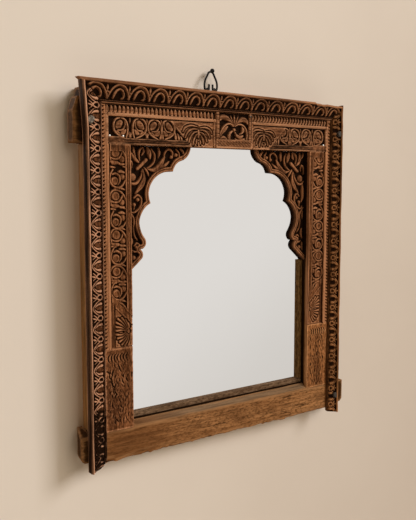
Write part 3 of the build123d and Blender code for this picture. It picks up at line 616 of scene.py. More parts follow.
def height_across(kind, r):
    """The share of a stroke's height at r, which runs from 0 in its middle to 1 at its side."""
    round_top = np.sqrt(held(1 - r**2))
    if kind == "rib":
        return round_top
    if kind == "leaf":
        return round_top * (1 - 0.42 * np.exp(-((r / 0.2) ** 2)))
    if kind == "band":
        return held((1 - r) * 2.6) ** 0.7
    return held((1 - r) * 3.2) ** 0.6 * (0.62 + 0.38 * held(r * 1.25) ** 2)


def raise_strokes(ground, x, y, strokes):
    """Raises the ground under each rib, leaf, band or dish."""
    for kind, points in strokes:
        line = smooth_line(points)
        reach = line[:, 2].max() + 0.3
        near = np.nonzero((x > line[:, 0].min() - reach) & (x < line[:, 0].max() + reach)
                          & (y > line[:, 1].min() - reach) & (y < line[:, 1].max() + reach))
        if not near[0].size:
            continue
        px, py = x[near][:, None], y[near][:, None]
        a, b = line[:-1], line[1:]
        dx, dy = b[:, 0] - a[:, 0], b[:, 1] - a[:, 1]
        t = held(((px - a[:, 0]) * dx + (py - a[:, 1]) * dy) / (dx**2 + dy**2 + 1e-9))
        gap = np.hypot(px - a[:, 0] - t * dx, py - a[:, 1] - t * dy)
        wide = a[:, 2] + t * (b[:, 2] - a[:, 2])
        high = a[:, 3] + t * (b[:, 3] - a[:, 3])
        r = gap / wide
        lift = np.where(r < 1, high * height_across(kind, np.minimum(r, 1)), 0).max(axis=1)
        ground[near] = np.maximum(ground[near], lift)


def placed(strokes, x=0.0, y=0.0, flip_x=1, size=1.0, jitter=0.0):
    """Strokes flipped, sized and moved to their place on the board, with a hand's small errors."""
    x, y = x + jitter * PITS.uniform(-1, 1), y + jitter * PITS.uniform(-1, 1)
    unsteady = WIDTH_CHANGE * (jitter > 0)
    return [(kind, [(x + size * flip_x * u, y + size * v, w * size * (1 + unsteady * PITS.uniform(-1, 1)), h)
                    for u, v, w, h in points]) for kind, points in strokes]


def rib(*points):
    """A stroke with a round top."""
    return ("rib", points)


def leaf(*points):
    """A stroke with a round top and a vein down its middle."""
    return ("leaf", points)


def spot(u, v, radius, height, kind="rib"):
    """A round bud."""
    return (kind, [(u - 0.05, v, radius, height), (u, v, radius, height), (u + 0.05, v, radius, height)])


def reflected(stroke, across=-1, up=1):
    """The same stroke on the other side of its motif's middle."""
    kind, points = stroke
    return (kind, [(across * u, up * v, w, h) for u, v, w, h in points])


print("strokes ready")

# %% Old-wood unevenness
def soft_noise(x, y, z=0.0, seed=0):
    """Smooth random values from -1 to 1 that are the same in every run."""
    x, y, z = np.broadcast_arrays(np.asarray(x, float), np.asarray(y, float), np.asarray(z, float))
    ix, iy, iz = (np.floor(q).astype(np.int64) for q in (x, y, z))
    fx, fy, fz = x - ix, y - iy, z - iz
    fx, fy, fz = (f * f * (3 - 2 * f) for f in (fx, fy, fz))

    def corner(i, j, k):
        n = (ix + i) * 374761393 + (iy + j) * 668265263 + (iz + k) * 2147483647 + seed * 1274126177
        n = (n ^ (n >> 13)) * 1103515245 & 0x7FFFFFFF
        n = (n ^ (n >> 16)) * 69069 & 0x7FFFFFFF
        return (n & 0xFFFF) / 32767.5 - 1

    def mix(a, b, f):
        return a + (b - a) * f

    low = mix(mix(corner(0, 0, 0), corner(1, 0, 0), fx), mix(corner(0, 1, 0), corner(1, 1, 0), fx), fy)
    high = mix(mix(corner(0, 0, 1), corner(1, 0, 1), fx), mix(corner(0, 1, 1), corner(1, 1, 1), fx), fy)
    return mix(low, high, fz)


def worn(x, z, seed):
    """The low, soft unevenness of a hand-cut and rubbed face."""
    return (soft_noise(x / 17, z / 17, seed=seed) * 0.4 + soft_noise(x / 4.2, z / 4.2, seed=seed + 1) * 0.2
            + soft_noise(x / 1.7, z / 1.7, seed=seed + 2) * 0.14 - 0.15)


def fine_line(distance, half_width):
    """A soft line: 1 on its middle, and next to nothing two half widths away."""
    return np.exp(-((distance / half_width) ** 2))


print("noise at one place", round(float(soft_noise(0.3, 0.4, 0.5)), 3))

# %% Points and marks of a mesh
def read_points(mesh, what="co"):
    """A mesh's points, or their normals, as rows of X, Y and Z."""
    values = np.zeros(len(mesh.vertices) * 3)
    mesh.vertices.foreach_get(what, values)
    return values.reshape(-1, 3)


def write_points(mesh, places):
    """Moves a mesh's points to their places in mm."""
    mesh.vertices.foreach_set("co", (places * MM).ravel())
    mesh.update()


def write_mark(mesh, name, values):
    """Stores one value for each point, for the patina and painted light to read."""
    mark = mesh.attributes.new(name, "FLOAT", "POINT")
    mark.data.foreach_set("value", values.astype(np.float32).ravel())


def mark_ridges(mesh, rounds=14, scale=900.0):
    """Marks how far each point stands out of its surroundings, which many rounds of averaging give."""
    n = len(mesh.vertices)
    places = read_points(mesh)
    ends = np.zeros(len(mesh.edges) * 2, np.int64)
    mesh.edges.foreach_get("vertices", ends)
    ends = ends.reshape(-1, 2)
    one, two = np.concatenate([ends[:, 0], ends[:, 1]]), np.concatenate([ends[:, 1], ends[:, 0]])
    count = np.maximum(np.bincount(one, minlength=n), 1)
    soft = places
    for _ in range(rounds):
        soft = np.stack([np.bincount(one, soft[two, k], n) / count for k in range(3)], axis=1)
    out = ((places - soft) * read_points(mesh, "normal")).sum(axis=1) * scale
    write_mark(mesh, "ridge", np.clip(out, -2, 2))


print("marks ready")

# %% Close a carved piece
SHARP_ANGLE = math.radians(55)
TOUCHING = 0.00001


def pick(piece):
    """Selects one piece alone and makes it the active one."""
    bpy.ops.object.select_all(action="DESELECT")
    piece.select_set(True)
    bpy.context.view_layer.objects.active = piece


def flat_grid(name, columns, rows):
    """A flat grid whose points are then moved to their places."""
    bpy.ops.mesh.primitive_grid_add(x_subdivisions=columns - 1, y_subdivisions=rows - 1, size=1)
    piece = bpy.context.object
    piece.name = name
    return piece


def face_outwards():
    """Turns the faces of the mesh that is being edited outwards, and keeps its sharp edges sharp."""
    bpy.ops.mesh.select_all(action="SELECT")
    bpy.ops.mesh.normals_make_consistent(inside=False)
    bpy.ops.object.mode_set(mode="OBJECT")
    bpy.ops.object.shade_smooth_by_angle(angle=SHARP_ANGLE)


def close_back(piece, back):
    """Draws the open edge back to a plane, back mm off the wall, and caps it."""
    pick(piece)
    bpy.ops.object.mode_set(mode="EDIT")
    bpy.ops.mesh.select_all(action="DESELECT")
    bpy.ops.mesh.select_mode(type="EDGE")
    bpy.ops.mesh.select_non_manifold()
    bpy.ops.mesh.extrude_edges_move()
    bpy.ops.transform.resize(value=(1, 0, 1), center_override=(0, -back * MM, 0))
    bpy.ops.mesh.fill(use_beauty=False)
    face_outwards()


def stand_for(piece, node, material):
    """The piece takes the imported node's place and body, and gets its material."""
    bpy.ops.object.select_all(action="DESELECT")
    piece.data.materials.clear()
    piece.data.materials.append(material)
    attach(piece, "frame")
    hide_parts(node)
    print(piece.name, "faces", len(piece.data.polygons))


print("closing helpers ready")

# %% Carve a board
BOARD_BACK = 37.0


def board(name, x_range, z_range, step, shape):
    """A carved board: its face follows shape(x, z) in mm from the wall, its back is flat."""
    (x0, x1), (z0, z1) = x_range, z_range
    nx, nz = int((x1 - x0) / step) + 2, int((z1 - z0) / step) + 2
    piece = flat_grid(name, nx, nz)
    x, z = np.meshgrid(np.linspace(x0, x1, nx), np.linspace(z0, z1, nz))
    face, deep = shape(x, z)
    write_points(piece.data, np.stack([x.ravel(), -face.ravel(), z.ravel()], axis=1))
    close_back(piece, BOARD_BACK)
    mark_ridges(piece.data)
    whole = np.zeros(len(piece.data.vertices))
    whole[:deep.size] = deep.ravel()
    write_mark(piece.data, "depth", whole)
    return piece


print("board maker ready")

# %% [markdown]
# ## Cornice
# The cornice slopes from its outer rim down to a small cove. Along the head its slope carries a row of
# arches: an outer rib, a comma and a hook inside it, and a bud over a small tie between two arches.
# Down the sides it carries C-scrolls with a leaf inside and crossed leaves between them. Each of the
# three lengths is one closed section, swept along and carved square to the slope. The old carver's
# work is uneven, so the widths, the dirt and painted shade, and the wear are given for each length by
# itself: -1 is the left upright, 0 the head and 1 the right upright. The cove and the outer side are
# painted dark as painted shade.

# %% Cornice motifs
ARCH = [
    rib((-19.4, 0.6, 1.2, 4.4), (-16.2, 9.0, 1.8, 5.6), (-10.8, 16.8, 2.0, 6.0), (-1.0, 21.8, 2.1, 6.0),
        (10.0, 18.6, 2.0, 6.0), (16.4, 10.0, 1.8, 5.6), (19.4, 0.6, 1.2, 4.4)),
    leaf((1.4, 16.0, 1.3, 5.0), (-3.6, 13.4, 2.2, 5.8), (-7.6, 8.2, 2.8, 6.2), (-9.6, 2.2, 2.2, 5.6)),
    rib((1.4, 16.0, 1.3, 5.0), (6.4, 12.8, 1.8, 5.8), (9.2, 7.4, 1.9, 5.8), (8.4, 2.4, 2.0, 5.4),
        (5.4, 1.6, 1.4, 4.6)),
]
SPANDREL_TIE = rib((-1.6, 1.0, 0.9, 4.2), (0, 7.6, 1.0, 5.0))
SPANDREL = [
    rib((-3.4, 9.8, 1.2, 4.8), (0, 10.6, 1.7, 5.6), (3.4, 9.8, 1.2, 4.8)),
    leaf((0, 12.6, 1.3, 4.4), (0, 17.0, 2.3, 5.2), (0, 22.6, 0.6, 3.4)),
    SPANDREL_TIE,
    reflected(SPANDREL_TIE),
]
SCROLL_HORN = rib((6.0, 0.9, 0.9, 4.2), (8.8, 4.0, 1.5, 5.2), (13.2, 6.4, 2.2, 6.0), (18.6, 7.2, 3.0, 6.8),
                  (20.2, 7.0, 2.6, 6.4))
SCROLL = [
    rib((23.0, 14.8, 1.0, 3.8), (15.4, 12.4, 1.3, 4.6), (8.4, 7.6, 1.5, 5.0), (2.6, 0, 1.8, 5.2),
        (8.4, -7.6, 1.5, 5.0), (15.4, -12.4, 1.3, 4.6), (23.0, -14.8, 1.0, 3.8)),
    SCROLL_HORN,
    reflected(SCROLL_HORN, across=1, up=-1),
]
CROSSED_STEM = rib((4.4, 6.2, 0.9, 4.0), (9.4, 2.2, 1.6, 5.4), (14.0, -3.2, 1.8, 5.8), (20.2, -4.6, 1.3, 5.0))
CROSSED = [
    leaf((1.8, 1.0, 0.8, 4.0), (4.6, 0.2, 1.9, 5.6), (9.4, -0.6, 1.4, 5.0)),
    CROSSED_STEM,
    reflected(CROSSED_STEM, across=1, up=-1),
    rib((20.2, 4.4, 1.2, 5.4), (22.2, 0, 1.6, 5.8), (20.2, -4.4, 1.2, 5.4)),
]


def stouter(strokes, factor):
    """The same strokes, each one wider."""
    return [(kind, [(u, v, w * factor, h) for u, v, w, h in rows]) for kind, rows in strokes]


def stretched_across(strokes, factor):
    """The same strokes, spread out across their run."""
    return [(kind, [(u * factor, v, w * math.sqrt(factor), h) for u, v, w, h in rows])
            for kind, rows in strokes]


print("cornice motifs", len(ARCH) + len(SPANDREL) + len(SCROLL) + len(CROSSED), "strokes")

# %% Cornice section
EDGE_X, EDGE_Z = 265.0, 314.0
TIMBER_FACE = 45.0
FOOT = -311.0
WIDTHS = {-1: 35.0, 0: 36.0, 1: 25.5}
TOPS = {-1: 39.5, 1: 32.0}
RUNS = {-1: 660, 0: 590, 1: 660}
FOOT_ROUNDING = {-1: 20, 1: 4}
MITRE_GAPS = {-1: 1.1, 1: 0.4}
HEAD_GAP = 1.5
RIM_WIDTH, RIM_LOW = 5.4, 13
RIM = ((0.1, 13.6), (0.26, 14.9), (0.44, 15.7), (0.6, 16), (0.76, 15.8), (0.9, 15.0), (1, 13.6))
COVE_AND_BEAD = ((0.872, 3.6), (0.888, 2.2), (0.905, 2.2), (0.922, 3.7), (0.94, 4.2), (0.958, 3.7),
                 (0.975, 2.2), (1, 2.0), (1, 0), (0.5, 0), (0, 0))


def slope_length(width):
    """Length of the sloping face of a cornice of this width."""
    return np.hypot(0.71 * width, 7.5)


def section_rows(step, width):
    """The section as rows: share of the width in from the rim, height off the timber, share of the slope.

    Rows off the slope have -1 as their share of it.
    """
    rows = [(0, h, -1) for h in np.arange(0, RIM_LOW, 1.4)]
    rows += [(share * RIM_WIDTH / width, h, -1) for share, h in RIM]
    for share in np.linspace(0, 1, int(slope_length(width) / step) + 1):
        rows.append((0.155 + 0.705 * share, 12.3 - 7.4 * share, 1 - share))
    rows += [(share, h, -1) for share, h in COVE_AND_BEAD]
    return np.array(rows)


def run_of(side, t, u):
    """Places along a length of cornice, for shares in from the rim and along, and its width there."""
    if side == 0:
        left, right = -EDGE_X - WIDTHS[-1] * (1 - t) + HEAD_GAP, EDGE_X + WIDTHS[1] * (1 - t)
        along = left + u * (right - left)
        full_run = 2 * EDGE_X + WIDTHS[-1] + WIDTHS[1]
        return along, TOPS[-1] + (TOPS[1] - TOPS[-1]) * (along + EDGE_X + WIDTHS[-1]) / full_run
    round_foot = 1 - np.sqrt(held(1 - (np.maximum(t - 0.15, 0) / 0.85) ** 2))
    low = FOOT + FOOT_ROUNDING[side] * round_foot
    along = low + u * (EDGE_Z + TOPS[side] * (1 - t) - MITRE_GAPS[side] - low)
    return along, np.full_like(along, WIDTHS[side])


print("section points", len(section_rows(0.8, WIDTHS[0])))

# %% Dirt and painted shade, lean and nail seats of a cornice
GROUND = 4.3
LEAN = 6.5
NAILS = [(-290.0, 286.0), (283.5, 286.0), (283.5, -273.0)]
SEAT_RADIUS, SEAT_SOFT, SEAT_HEIGHT, SEAT_DIRT = 10.5, 3.0, 9.0, 0.75
CARVING_DIRT_AND_SHADE = {-1: 1.05, 0: 1.05, 1: 1.4}
BEAD_DIRT = {-1: 0.52, 0: 0.40, 1: 0.64}
RIM_DIRT = {-1: 0.24, 1: 0.44}
# Painted shade: the cove, the rim's outer edge and the outer side are painted dark.
COVE_SHADE, RIM_EDGE_SHADE, OUTSIDE_SHADE = 0.97, 0.66, 0.85


def cornice_dirt_and_shade(side, along, t, h, width, lift, on_slope, rim):
    """How dark each point is painted: dirt and painted shade in the carving, painted shade in the cove, on
    the rim's outer edge and on the outer side, and darker tones on the bead and rim.
    """
    cove = np.where((t > 0.86) & (h > 0), COVE_SHADE, 0)
    depth = np.where(on_slope, held(-lift / GROUND * CARVING_DIRT_AND_SHADE[side]), cove)
    on_bead = (t > 0.91) & (t < 0.97)
    depth = np.where(on_bead, BEAD_DIRT[side] + 0.12 * soft_noise(along / 9, 0, seed=13), depth)
    if side == 0:
        return depth
    depth = np.where(rim, np.where(t * width < 2.6, RIM_EDGE_SHADE, RIM_DIRT[side]), depth)
    outside = (t * width < 1.2) & (h > 0)
    return np.where(outside, OUTSIDE_SHADE + 0.10 * soft_noise(along / 60, h / 3, seed=3), depth)


def leant(side, along, from_edge):
    """The places once the upper left corner leans outwards, as it does on the old frame."""
    if side == 0:
        along = along - LEAN * from_edge / TOPS[-1] * held((-along - 250) / 50) ** 1.2
    elif side < 0:
        from_edge = from_edge * (1 + LEAN / WIDTHS[-1] * held((along - 262) / 91) ** 1.2)
    return along, from_edge


def on_wall(side, along, from_edge):
    """The X and Z of places along a cornice and off its inner edge."""
    if side == 0:
        return along, EDGE_Z + from_edge
    return side * (EDGE_X + from_edge), along


def seat_nails(side, along, from_edge, out_h, depth, on_slope):
    """Sinks a dark flat seat into the slope round each nail."""
    x, z = on_wall(side, along, from_edge)
    for nail_x, nail_z in NAILS:
        gap = np.hypot(x - nail_x, z - nail_z)
        seat = held((SEAT_RADIUS - gap) / SEAT_SOFT) * on_slope
        out_h = out_h - (out_h - np.minimum(out_h, SEAT_HEIGHT)) * seat
        depth = np.maximum(depth, SEAT_DIRT * seat)
    return out_h, depth


print("nail seats", len(NAILS))

# %% Sweep a cornice
CORNICE_STEP = 0.8
LOWEST, HIGHEST = 0.6, 15.9
TIP_X, TIP_SQUEEZE = -309, 0.6


def cornice(side, carve):
    """One length of cornice; carve gives the height of the relief for places along and up the slope."""
    rows = section_rows(CORNICE_STEP, WIDTHS[side])
    t, h, v = (rows[:, k][:, None] for k in range(3))
    along, width = run_of(side, t, np.linspace(0, 1, int(RUNS[side] / CORNICE_STEP))[None, :])
    on_slope, rim = v >= 0, (h > RIM_LOW) & (v < 0)
    slope = slope_length(width)
    place = v * slope
    part = on_slope[:, 0]
    lift = np.zeros_like(along)
    fade = held(np.minimum(v[part], 1 - v[part]) * 26)
    lift[part] = (carve(along[part], place[part], slope[part]) - GROUND) * fade
    lift = lift + soft_noise(along / 2.6, place / 2.6, seed=77) * 0.22 * on_slope
    wear = soft_noise(along / 23, t * 4 + h / 6, seed=side + 5) * 0.5
    wear += soft_noise(along / 5.5, t * 9, h / 6, seed=side + 9) * 0.22
    edge = np.where(rim, wear * 1.4, wear * 0.5 * (h > 0.5))
    out_w = t * width - lift * 0.28 * on_slope + np.where((t == 0) & (h > 1), np.abs(edge) * 0.7, 0)
    out_h = h + lift * 0.96 * on_slope + np.where(h > 0.5, edge - 0.5 * rim, 0)
    out_h = np.where(h > 0.5, np.clip(out_h, LOWEST, HIGHEST), h)
    depth = cornice_dirt_and_shade(side, along, t, h, width, lift, on_slope, rim)
    along, from_edge = leant(side, along, width - out_w)
    out_h, depth = seat_nails(side, along, from_edge, out_h, depth, on_slope)
    return along, from_edge, out_w, out_h, depth


def sweep_piece(name, side, along, from_edge, out_h, depth):
    """Turns the rows into a closed piece with flat ends."""
    piece = flat_grid(name, along.shape[1], along.shape[0])
    x, z = on_wall(side, along, from_edge)
    x = np.where(x < TIP_X, TIP_X + (x - TIP_X) * TIP_SQUEEZE, x)
    write_points(piece.data, np.stack([x, -(TIMBER_FACE + out_h), z], axis=2))
    write_mark(piece.data, "depth", depth)
    pick(piece)
    bpy.ops.object.mode_set(mode="EDIT")
    bpy.ops.mesh.select_mode(type="VERT")
    bpy.ops.mesh.select_all(action="SELECT")
    bpy.ops.mesh.remove_doubles(threshold=TOUCHING)
    bpy.ops.mesh.select_all(action="DESELECT")
    bpy.ops.mesh.select_non_manifold()
    bpy.ops.mesh.fill_holes(sides=0)
    face_outwards()
    mark_ridges(piece.data)
    return piece


print("cornice maker ready")

# %% Cut the head cornice
ARCH_PLACES = [-278, -236, -196, -156, -117, -81, -43, -4.5, 32, 70, 110, 150, 190, 229, 267]
ARCH_SPAN, ARCH_HEIGHT = 38.5, 23.4
PLAIN_EDGE = 3.0
ARCH_FOOT = 0.6


def head_slope(x, v, length):
    """Relief of the head cornice's slope. The arches stop short of the plain lower edge."""
    up = (v - PLAIN_EDGE) * ARCH_HEIGHT / (length - PLAIN_EDGE)
    gaps = np.diff(ARCH_PLACES)
    strokes = []
    for place, gap in zip(ARCH_PLACES, np.append(gaps, gaps[-1])):
        strokes += placed(stretched_across(ARCH, gap / ARCH_SPAN), place, ARCH_FOOT, jitter=0.4)
    for left, right in zip(ARCH_PLACES[:-1], ARCH_PLACES[1:]):
        strokes += placed(SPANDREL, (left + right) / 2, ARCH_FOOT, jitter=0.4)
    ground = np.zeros_like(x)
    raise_strokes(ground, x, up, strokes)
    lower_edge = held((2.6 - v) / 2.0) * 2.2
    return np.maximum(ground, lower_edge)


along, from_edge, out_w, out_h, depth = cornice(0, head_slope)
flare = held(1 - (along + 300) / 16) ** 2 * (out_w < 6)
along = along - 9.0 * flare
chipped = held((along - 211) / 2) * (out_w < 4.6)
from_edge = from_edge - 2.6 * chipped * (1 + 0.3 * soft_noise(along / 7, 0, seed=2))
piece = sweep_piece("head_cornice", 0, along, from_edge, out_h, depth)
stand_for(piece, "top_border", cornice_x)

# %% Cut the upright cornices
SCROLL_START, SCROLL_PITCH = 221.7, 35.5
SCROLLS_ABOVE, SCROLLS_BELOW = 3, 15
SCROLL_SLOPE = 24.0
STOUTNESS = {-1: 1.0, 1: 1.42}
FLOOR_HEIGHTS = {-1: 2.5, 1: 1.9}


def side_slope(side):
    """Relief of an upright cornice's slope: scrolls, with crossed leaves halfway between them."""
    def slope(z, v, length):
        reach = float(length.flat[0]) / SCROLL_SLOPE
        floor = FLOOR_HEIGHTS[side]
        strokes = []
        for step in range(-SCROLLS_ABOVE, SCROLLS_BELOW + 1):
            place = SCROLL_START - SCROLL_PITCH * step
            between = place - SCROLL_PITCH / 2
            for motif, middle in ((SCROLL, place), (CROSSED, between)):
                motif = stouter(stretched_across(motif, reach), STOUTNESS[side])
                strokes += placed(motif, 0, middle, jitter=0.5)
            strokes.append(("dish", [(12.5 * reach, place, 4.0, floor), (22.5 * reach, place, 4.6, floor)]))
            if side > 0:
                strokes.append(spot(3.6, between, 2.1, 6.6))
        ground = np.zeros_like(z)
        raise_strokes(ground, length - v, z, strokes)
        if side < 0:
            rotten = held((-198 - z) / 14) * (1 + 0.3 * soft_noise(z / 5, v / 4, seed=21))
            ground = ground * (1 - 0.5 * rotten)
        return ground

    return slope


def age_left_foot(along, out_w, out_h, depth):
    """The long crack beside the left rim, and the dark, worn foot."""
    crack = fine_line(out_w - 5.8, 0.9) * held((-110 - along) / 30)
    out_h = out_h - 3.0 * crack * (out_h > 6)
    foot = held((-200 - along) / 12) * (out_w > 6)
    dark_foot = 0.42 * foot * (1 + 0.8 * soft_noise(along / 5, out_w / 4, seed=22))
    return out_h, held(np.maximum(depth, crack) + dark_foot)


for side, name, node, paint in ((-1, "left_cornice", "left_border", cornice_left),
                                (1, "right_cornice", "right_border", cornice_right)):
    along, from_edge, out_w, out_h, depth = cornice(side, side_slope(side))
    if side < 0:
        out_h, depth = age_left_foot(along, out_w, out_h, depth)
    piece = sweep_piece(name, side, along, from_edge, out_h, depth)
    stand_for(piece, node, paint)

# %% [markdown]
# ## Boards inside the cornice
# A bead and a row of small leaf teeth run round the inside of the cornice. The head board carries
# roundels, with a fan panel on either side of the centre block. Each stile carries a vine of
# roundels, with a fan panel below, and ends in a shallow, worn panel at its foot. A board's face and
# its darkness, dirt and painted shade in its recesses, are two fields over the same grid. Each
# feature is a mask that lays its own height and darkness over them, the broad ones first and the
# narrow ones last.

# %% Rows of teeth
FACING_X, FACING_TOP = 258, 301
OPENING_X, OPENING_TOP = 210, 249
BLOCK_LEFT, BLOCK_RIGHT = -30, 54
JOINTS = {-1: -103, 1: -113}
TEETH_STEP = 0.5
TOOTH_LEFT = [leaf((0, 1.4, 3.9, 4.6), (0, 6.0, 3.6, 4.8), (0, 9.6, 2.2, 4.4), (0, 13.0, 0.6, 3.0))]
TOOTH_RIGHT = [rib((-1.4, 1.0, 2.6, 4.4), (1.0, 4.6, 2.8, 4.8), (1.8, 8.6, 2.2, 4.6), (0.8, 12.4, 1.2, 3.4))]
NOTCH = [rib((-3.6, -0.4, 2.1, 4.4), (-2.0, 0.0, 1.9, 4.2), (0.2, 0.8, 1.0, 2.0), (2.0, 1.8, 0.5, 0.8))]


def teeth_shape(motif, places, flip=1, jitter=0.4, notched=False):
    """A row of teeth that stand on their strip, or of notches cut into it."""
    def shape(x, z):
        strokes = []
        for place_x, place_z in places:
            strokes += placed(motif, place_x, place_z, flip_x=flip, jitter=jitter)
        ground = np.zeros_like(x)
        raise_strokes(ground, x, z, strokes)
        if notched:
            ground = 4.4 - ground
        lift = ground + soft_noise(x / 6, z / 6, seed=31) * 0.12
        return 41.0 + lift, held(1 - ground / 4.2)

    return shape


def top_teeth(name, node, x_range, motif, first, pitch):
    """A strip of teeth along the head."""
    places = [(x, FACING_TOP) for x in np.arange(x_range[0] + first, x_range[1] - 2, pitch)]
    piece = board(name, x_range, (FACING_TOP, EDGE_Z), TEETH_STEP, teeth_shape(motif, places))
    stand_for(piece, node, carved_x)


def side_teeth(name, node, side):
    """A strip of notches down a side."""
    x_range = sorted((side * FACING_X, side * EDGE_X))
    places = [(sum(x_range) / 2, z) for z in np.arange(JOINTS[side] + 3.4, EDGE_Z - 2, 6.5)]
    shape = teeth_shape(NOTCH, places, flip=-side, jitter=0.25, notched=True)
    stand_for(board(name, x_range, (JOINTS[side], EDGE_Z), TEETH_STEP, shape), node, carved_z)


top_teeth("left_top_dentils", "top_left_teeth", (-FACING_X, BLOCK_LEFT), TOOTH_LEFT, 4, 8.0)
top_teeth("right_top_dentils", "top_right_teeth", (BLOCK_RIGHT, FACING_X), TOOTH_RIGHT, 3, 7.4)
side_teeth("left_side_dentils", "left_teeth", -1)
side_teeth("right_side_dentils", "right_teeth", 1)

# %% Motifs of the head board
ROUNDEL = [
    rib((0.5, 17.4, 1.4, 4.0), (-9.0, 13.8, 2.0, 4.6), (-13.6, 5.0, 2.2, 4.8), (-12.0, -5.6, 2.2, 4.8),
        (-4.6, -12.6, 2.0, 4.6), (6.5, -17.6, 1.7, 4.2)),
    rib((0.5, 17.4, 1.4, 4.0), (9.4, 13.4, 2.0, 4.6), (13.4, 4.4, 2.2, 4.8), (13.6, -6.0, 2.2, 4.8),
        (11.0, -17.0, 2.0, 4.4)),
    rib((8.6, 11.0, 1.3, 4.2), (8.6, 3.4, 1.5, 4.6), (3.6, -3.6, 1.6, 4.6), (-5.6, -4.8, 1.4, 4.2)),
    leaf((-7.0, 0.6, 3.6, 4.4), (-3.0, 4.6, 6.2, 4.6), (0.6, 8.6, 5.4, 4.4)),
    leaf((2.0, -10.2, 3.0, 4.0), (6.2, -7.8, 4.9, 4.5), (9.6, -3.8, 1.8, 4.0)),
    leaf((-8.8, -6.8, 1.6, 3.8), (-4.2, -8.8, 2.7, 4.3), (0.0, -13.6, 1.4, 3.8)),
]
FLEUR_LEAF = leaf((-1.4, -12.6, 1.4, 3.8), (-4.0, -8.0, 1.5, 4.0), (-4.6, -3.0, 0.5, 2.8))
FLEUR = [
    leaf((0, -17.4, 3.4, 4.4), (0, -13.0, 2.8, 4.4), (0, -7.0, 0.6, 3.2)),
    FLEUR_LEAF,
    reflected(FLEUR_LEAF),
    rib((0, 16.6, 1.2, 3.8), (0, 11.0, 1.3, 4.0), (0, 7.4, 0.5, 2.8)),
]


def petal(*places):
    """One petal of a fan."""
    return rib(*[(u, v, w * 1.36, 4.3) for u, v, w in places])


FAN_LEFT = [
    petal((-3, 14.0, 0.9), (-17, 15.5, 1.6), (-29, 11.5, 1.8), (-34.5, 4.0, 1.5)),
    petal((-3, 9.5, 0.9), (-14, 9.2, 1.5), (-23.5, 3.6, 1.8), (-28.8, -6.0, 1.6)),
    petal((-3, 5.0, 0.9), (-10.5, 2.8, 1.5), (-17.4, -4.4, 1.8), (-21.4, -14.5, 1.6)),
    petal((-3, 0.5, 0.9), (-6.8, -3.0, 1.4), (-10.8, -10.6, 1.7), (-12.6, -19.0, 1.4)),
]
FAN_LEAF = leaf((-3.2, -9.0, 1.0, 3.4), (-4.6, -14.0, 1.9, 4.0), (-3.4, -18.6, 0.6, 3.0))
FAN_CORE = [
    ("band", [(0, 7.5, 2.0, 3.6), (0, 1.0, 2.7, 4.0), (0, -5.2, 2.1, 3.6)]),
    FAN_LEAF,
    reflected(FAN_LEAF),
    spot(0, -10.6, 2.0, 3.6),
]


def mirrored(strokes):
    """The same strokes with left and right changed over."""
    return placed(strokes, flip_x=-1)


print("head motifs", len(ROUNDEL) + len(FLEUR) + len(FAN_LEFT) + len(FAN_CORE))

# %% Beads, fans and masks
BEAD_WIDTH, BEAD_TOP, BEAD_FALL = 6.2, 46.6, 2.2
OFF_BEAD = -100
BED_EXTRA, BED_DEPTH, PETAL_LIFT = 1.9, 5.2, 1.28
SLIT_FACE, SLIT_DIRT = 41.0, 0.9
PATCH_FACE = 44.7
LIP_FACE = 45.0
CARVED_FLOOR = 40.0


def lay(face, deep, where, height, dirt_and_shade):
    """The board's face and darkness, with another height and darkness laid where the mask is true."""
    return np.where(where, height, face), np.where(where, dirt_and_shade, deep)


def bead(distance, width=BEAD_WIDTH, top=BEAD_TOP):
    """A rounded bead across its width, or a height far below the board off it."""
    r = np.abs(distance) / (width / 2)
    return np.where(r <= 1, top - BEAD_FALL * (1 - np.sqrt(held(1 - r**2))), OFF_BEAD)


def carved_ground(x, z, strokes):
    """A board's face where strokes stand on a floor that was cut away, with the floor painted dark as dirt
    and painted shade.
    """
    ground = np.zeros_like(x)
    raise_strokes(ground, x, z, strokes)
    return CARVED_FLOOR + ground, held(1 - ground / 4.0)


def fan(x, z, face, deep, mask, centre, strokes, top):
    """Petals standing in a bed cut into a plain board."""
    bed, ribs = np.zeros_like(x), np.zeros_like(x)
    petals = placed(strokes, *centre)
    raise_strokes(bed, x, z, [("band", [(u, v, w + BED_EXTRA, 1.0) for u, v, w, h in rows])
                              for kind, rows in petals])
    raise_strokes(ribs, x, z, petals)
    return lay(face, deep, mask, top - BED_DEPTH * bed + ribs * PETAL_LIFT, held(1.25 * bed - ribs / 3.0))


print("bead height", float(bead(0.0)))

# %% Carve the head boards
HEAD_MIDDLE = 277
LEAF_FOOT = 259.5
PANEL_HEIGHT = 44
HEAD_SIDES = {
    -1: {"roundels": [(-228.5, 1), (-191.5, -1), (-160.5, 1), (-133.0, -1)], "size": 0.98,
         "leaves": [(-116.5, 275.0, 2.8), (-110.0, 271.5, 2.5), (-103.8, 266.8, 2.0)],
         "panel_foot": -84.0, "panel_top": -129.5, "fan": (-67.5, 271.5), "patch": 222, "end_bead": -33},
    1: {"roundels": [(141.0, 1), (168.5, -1), (200.5, 1), (234.0, -1)], "size": 0.93,
        "leaves": [(124.8, 275.0, 2.6), (118.8, 270.5, 2.2), (113.6, 265.5, 1.6)],
        "panel_foot": 100.0, "panel_top": 144.0, "fan": (87.5, 272.0), "patch": 218, "end_bead": 57},
}


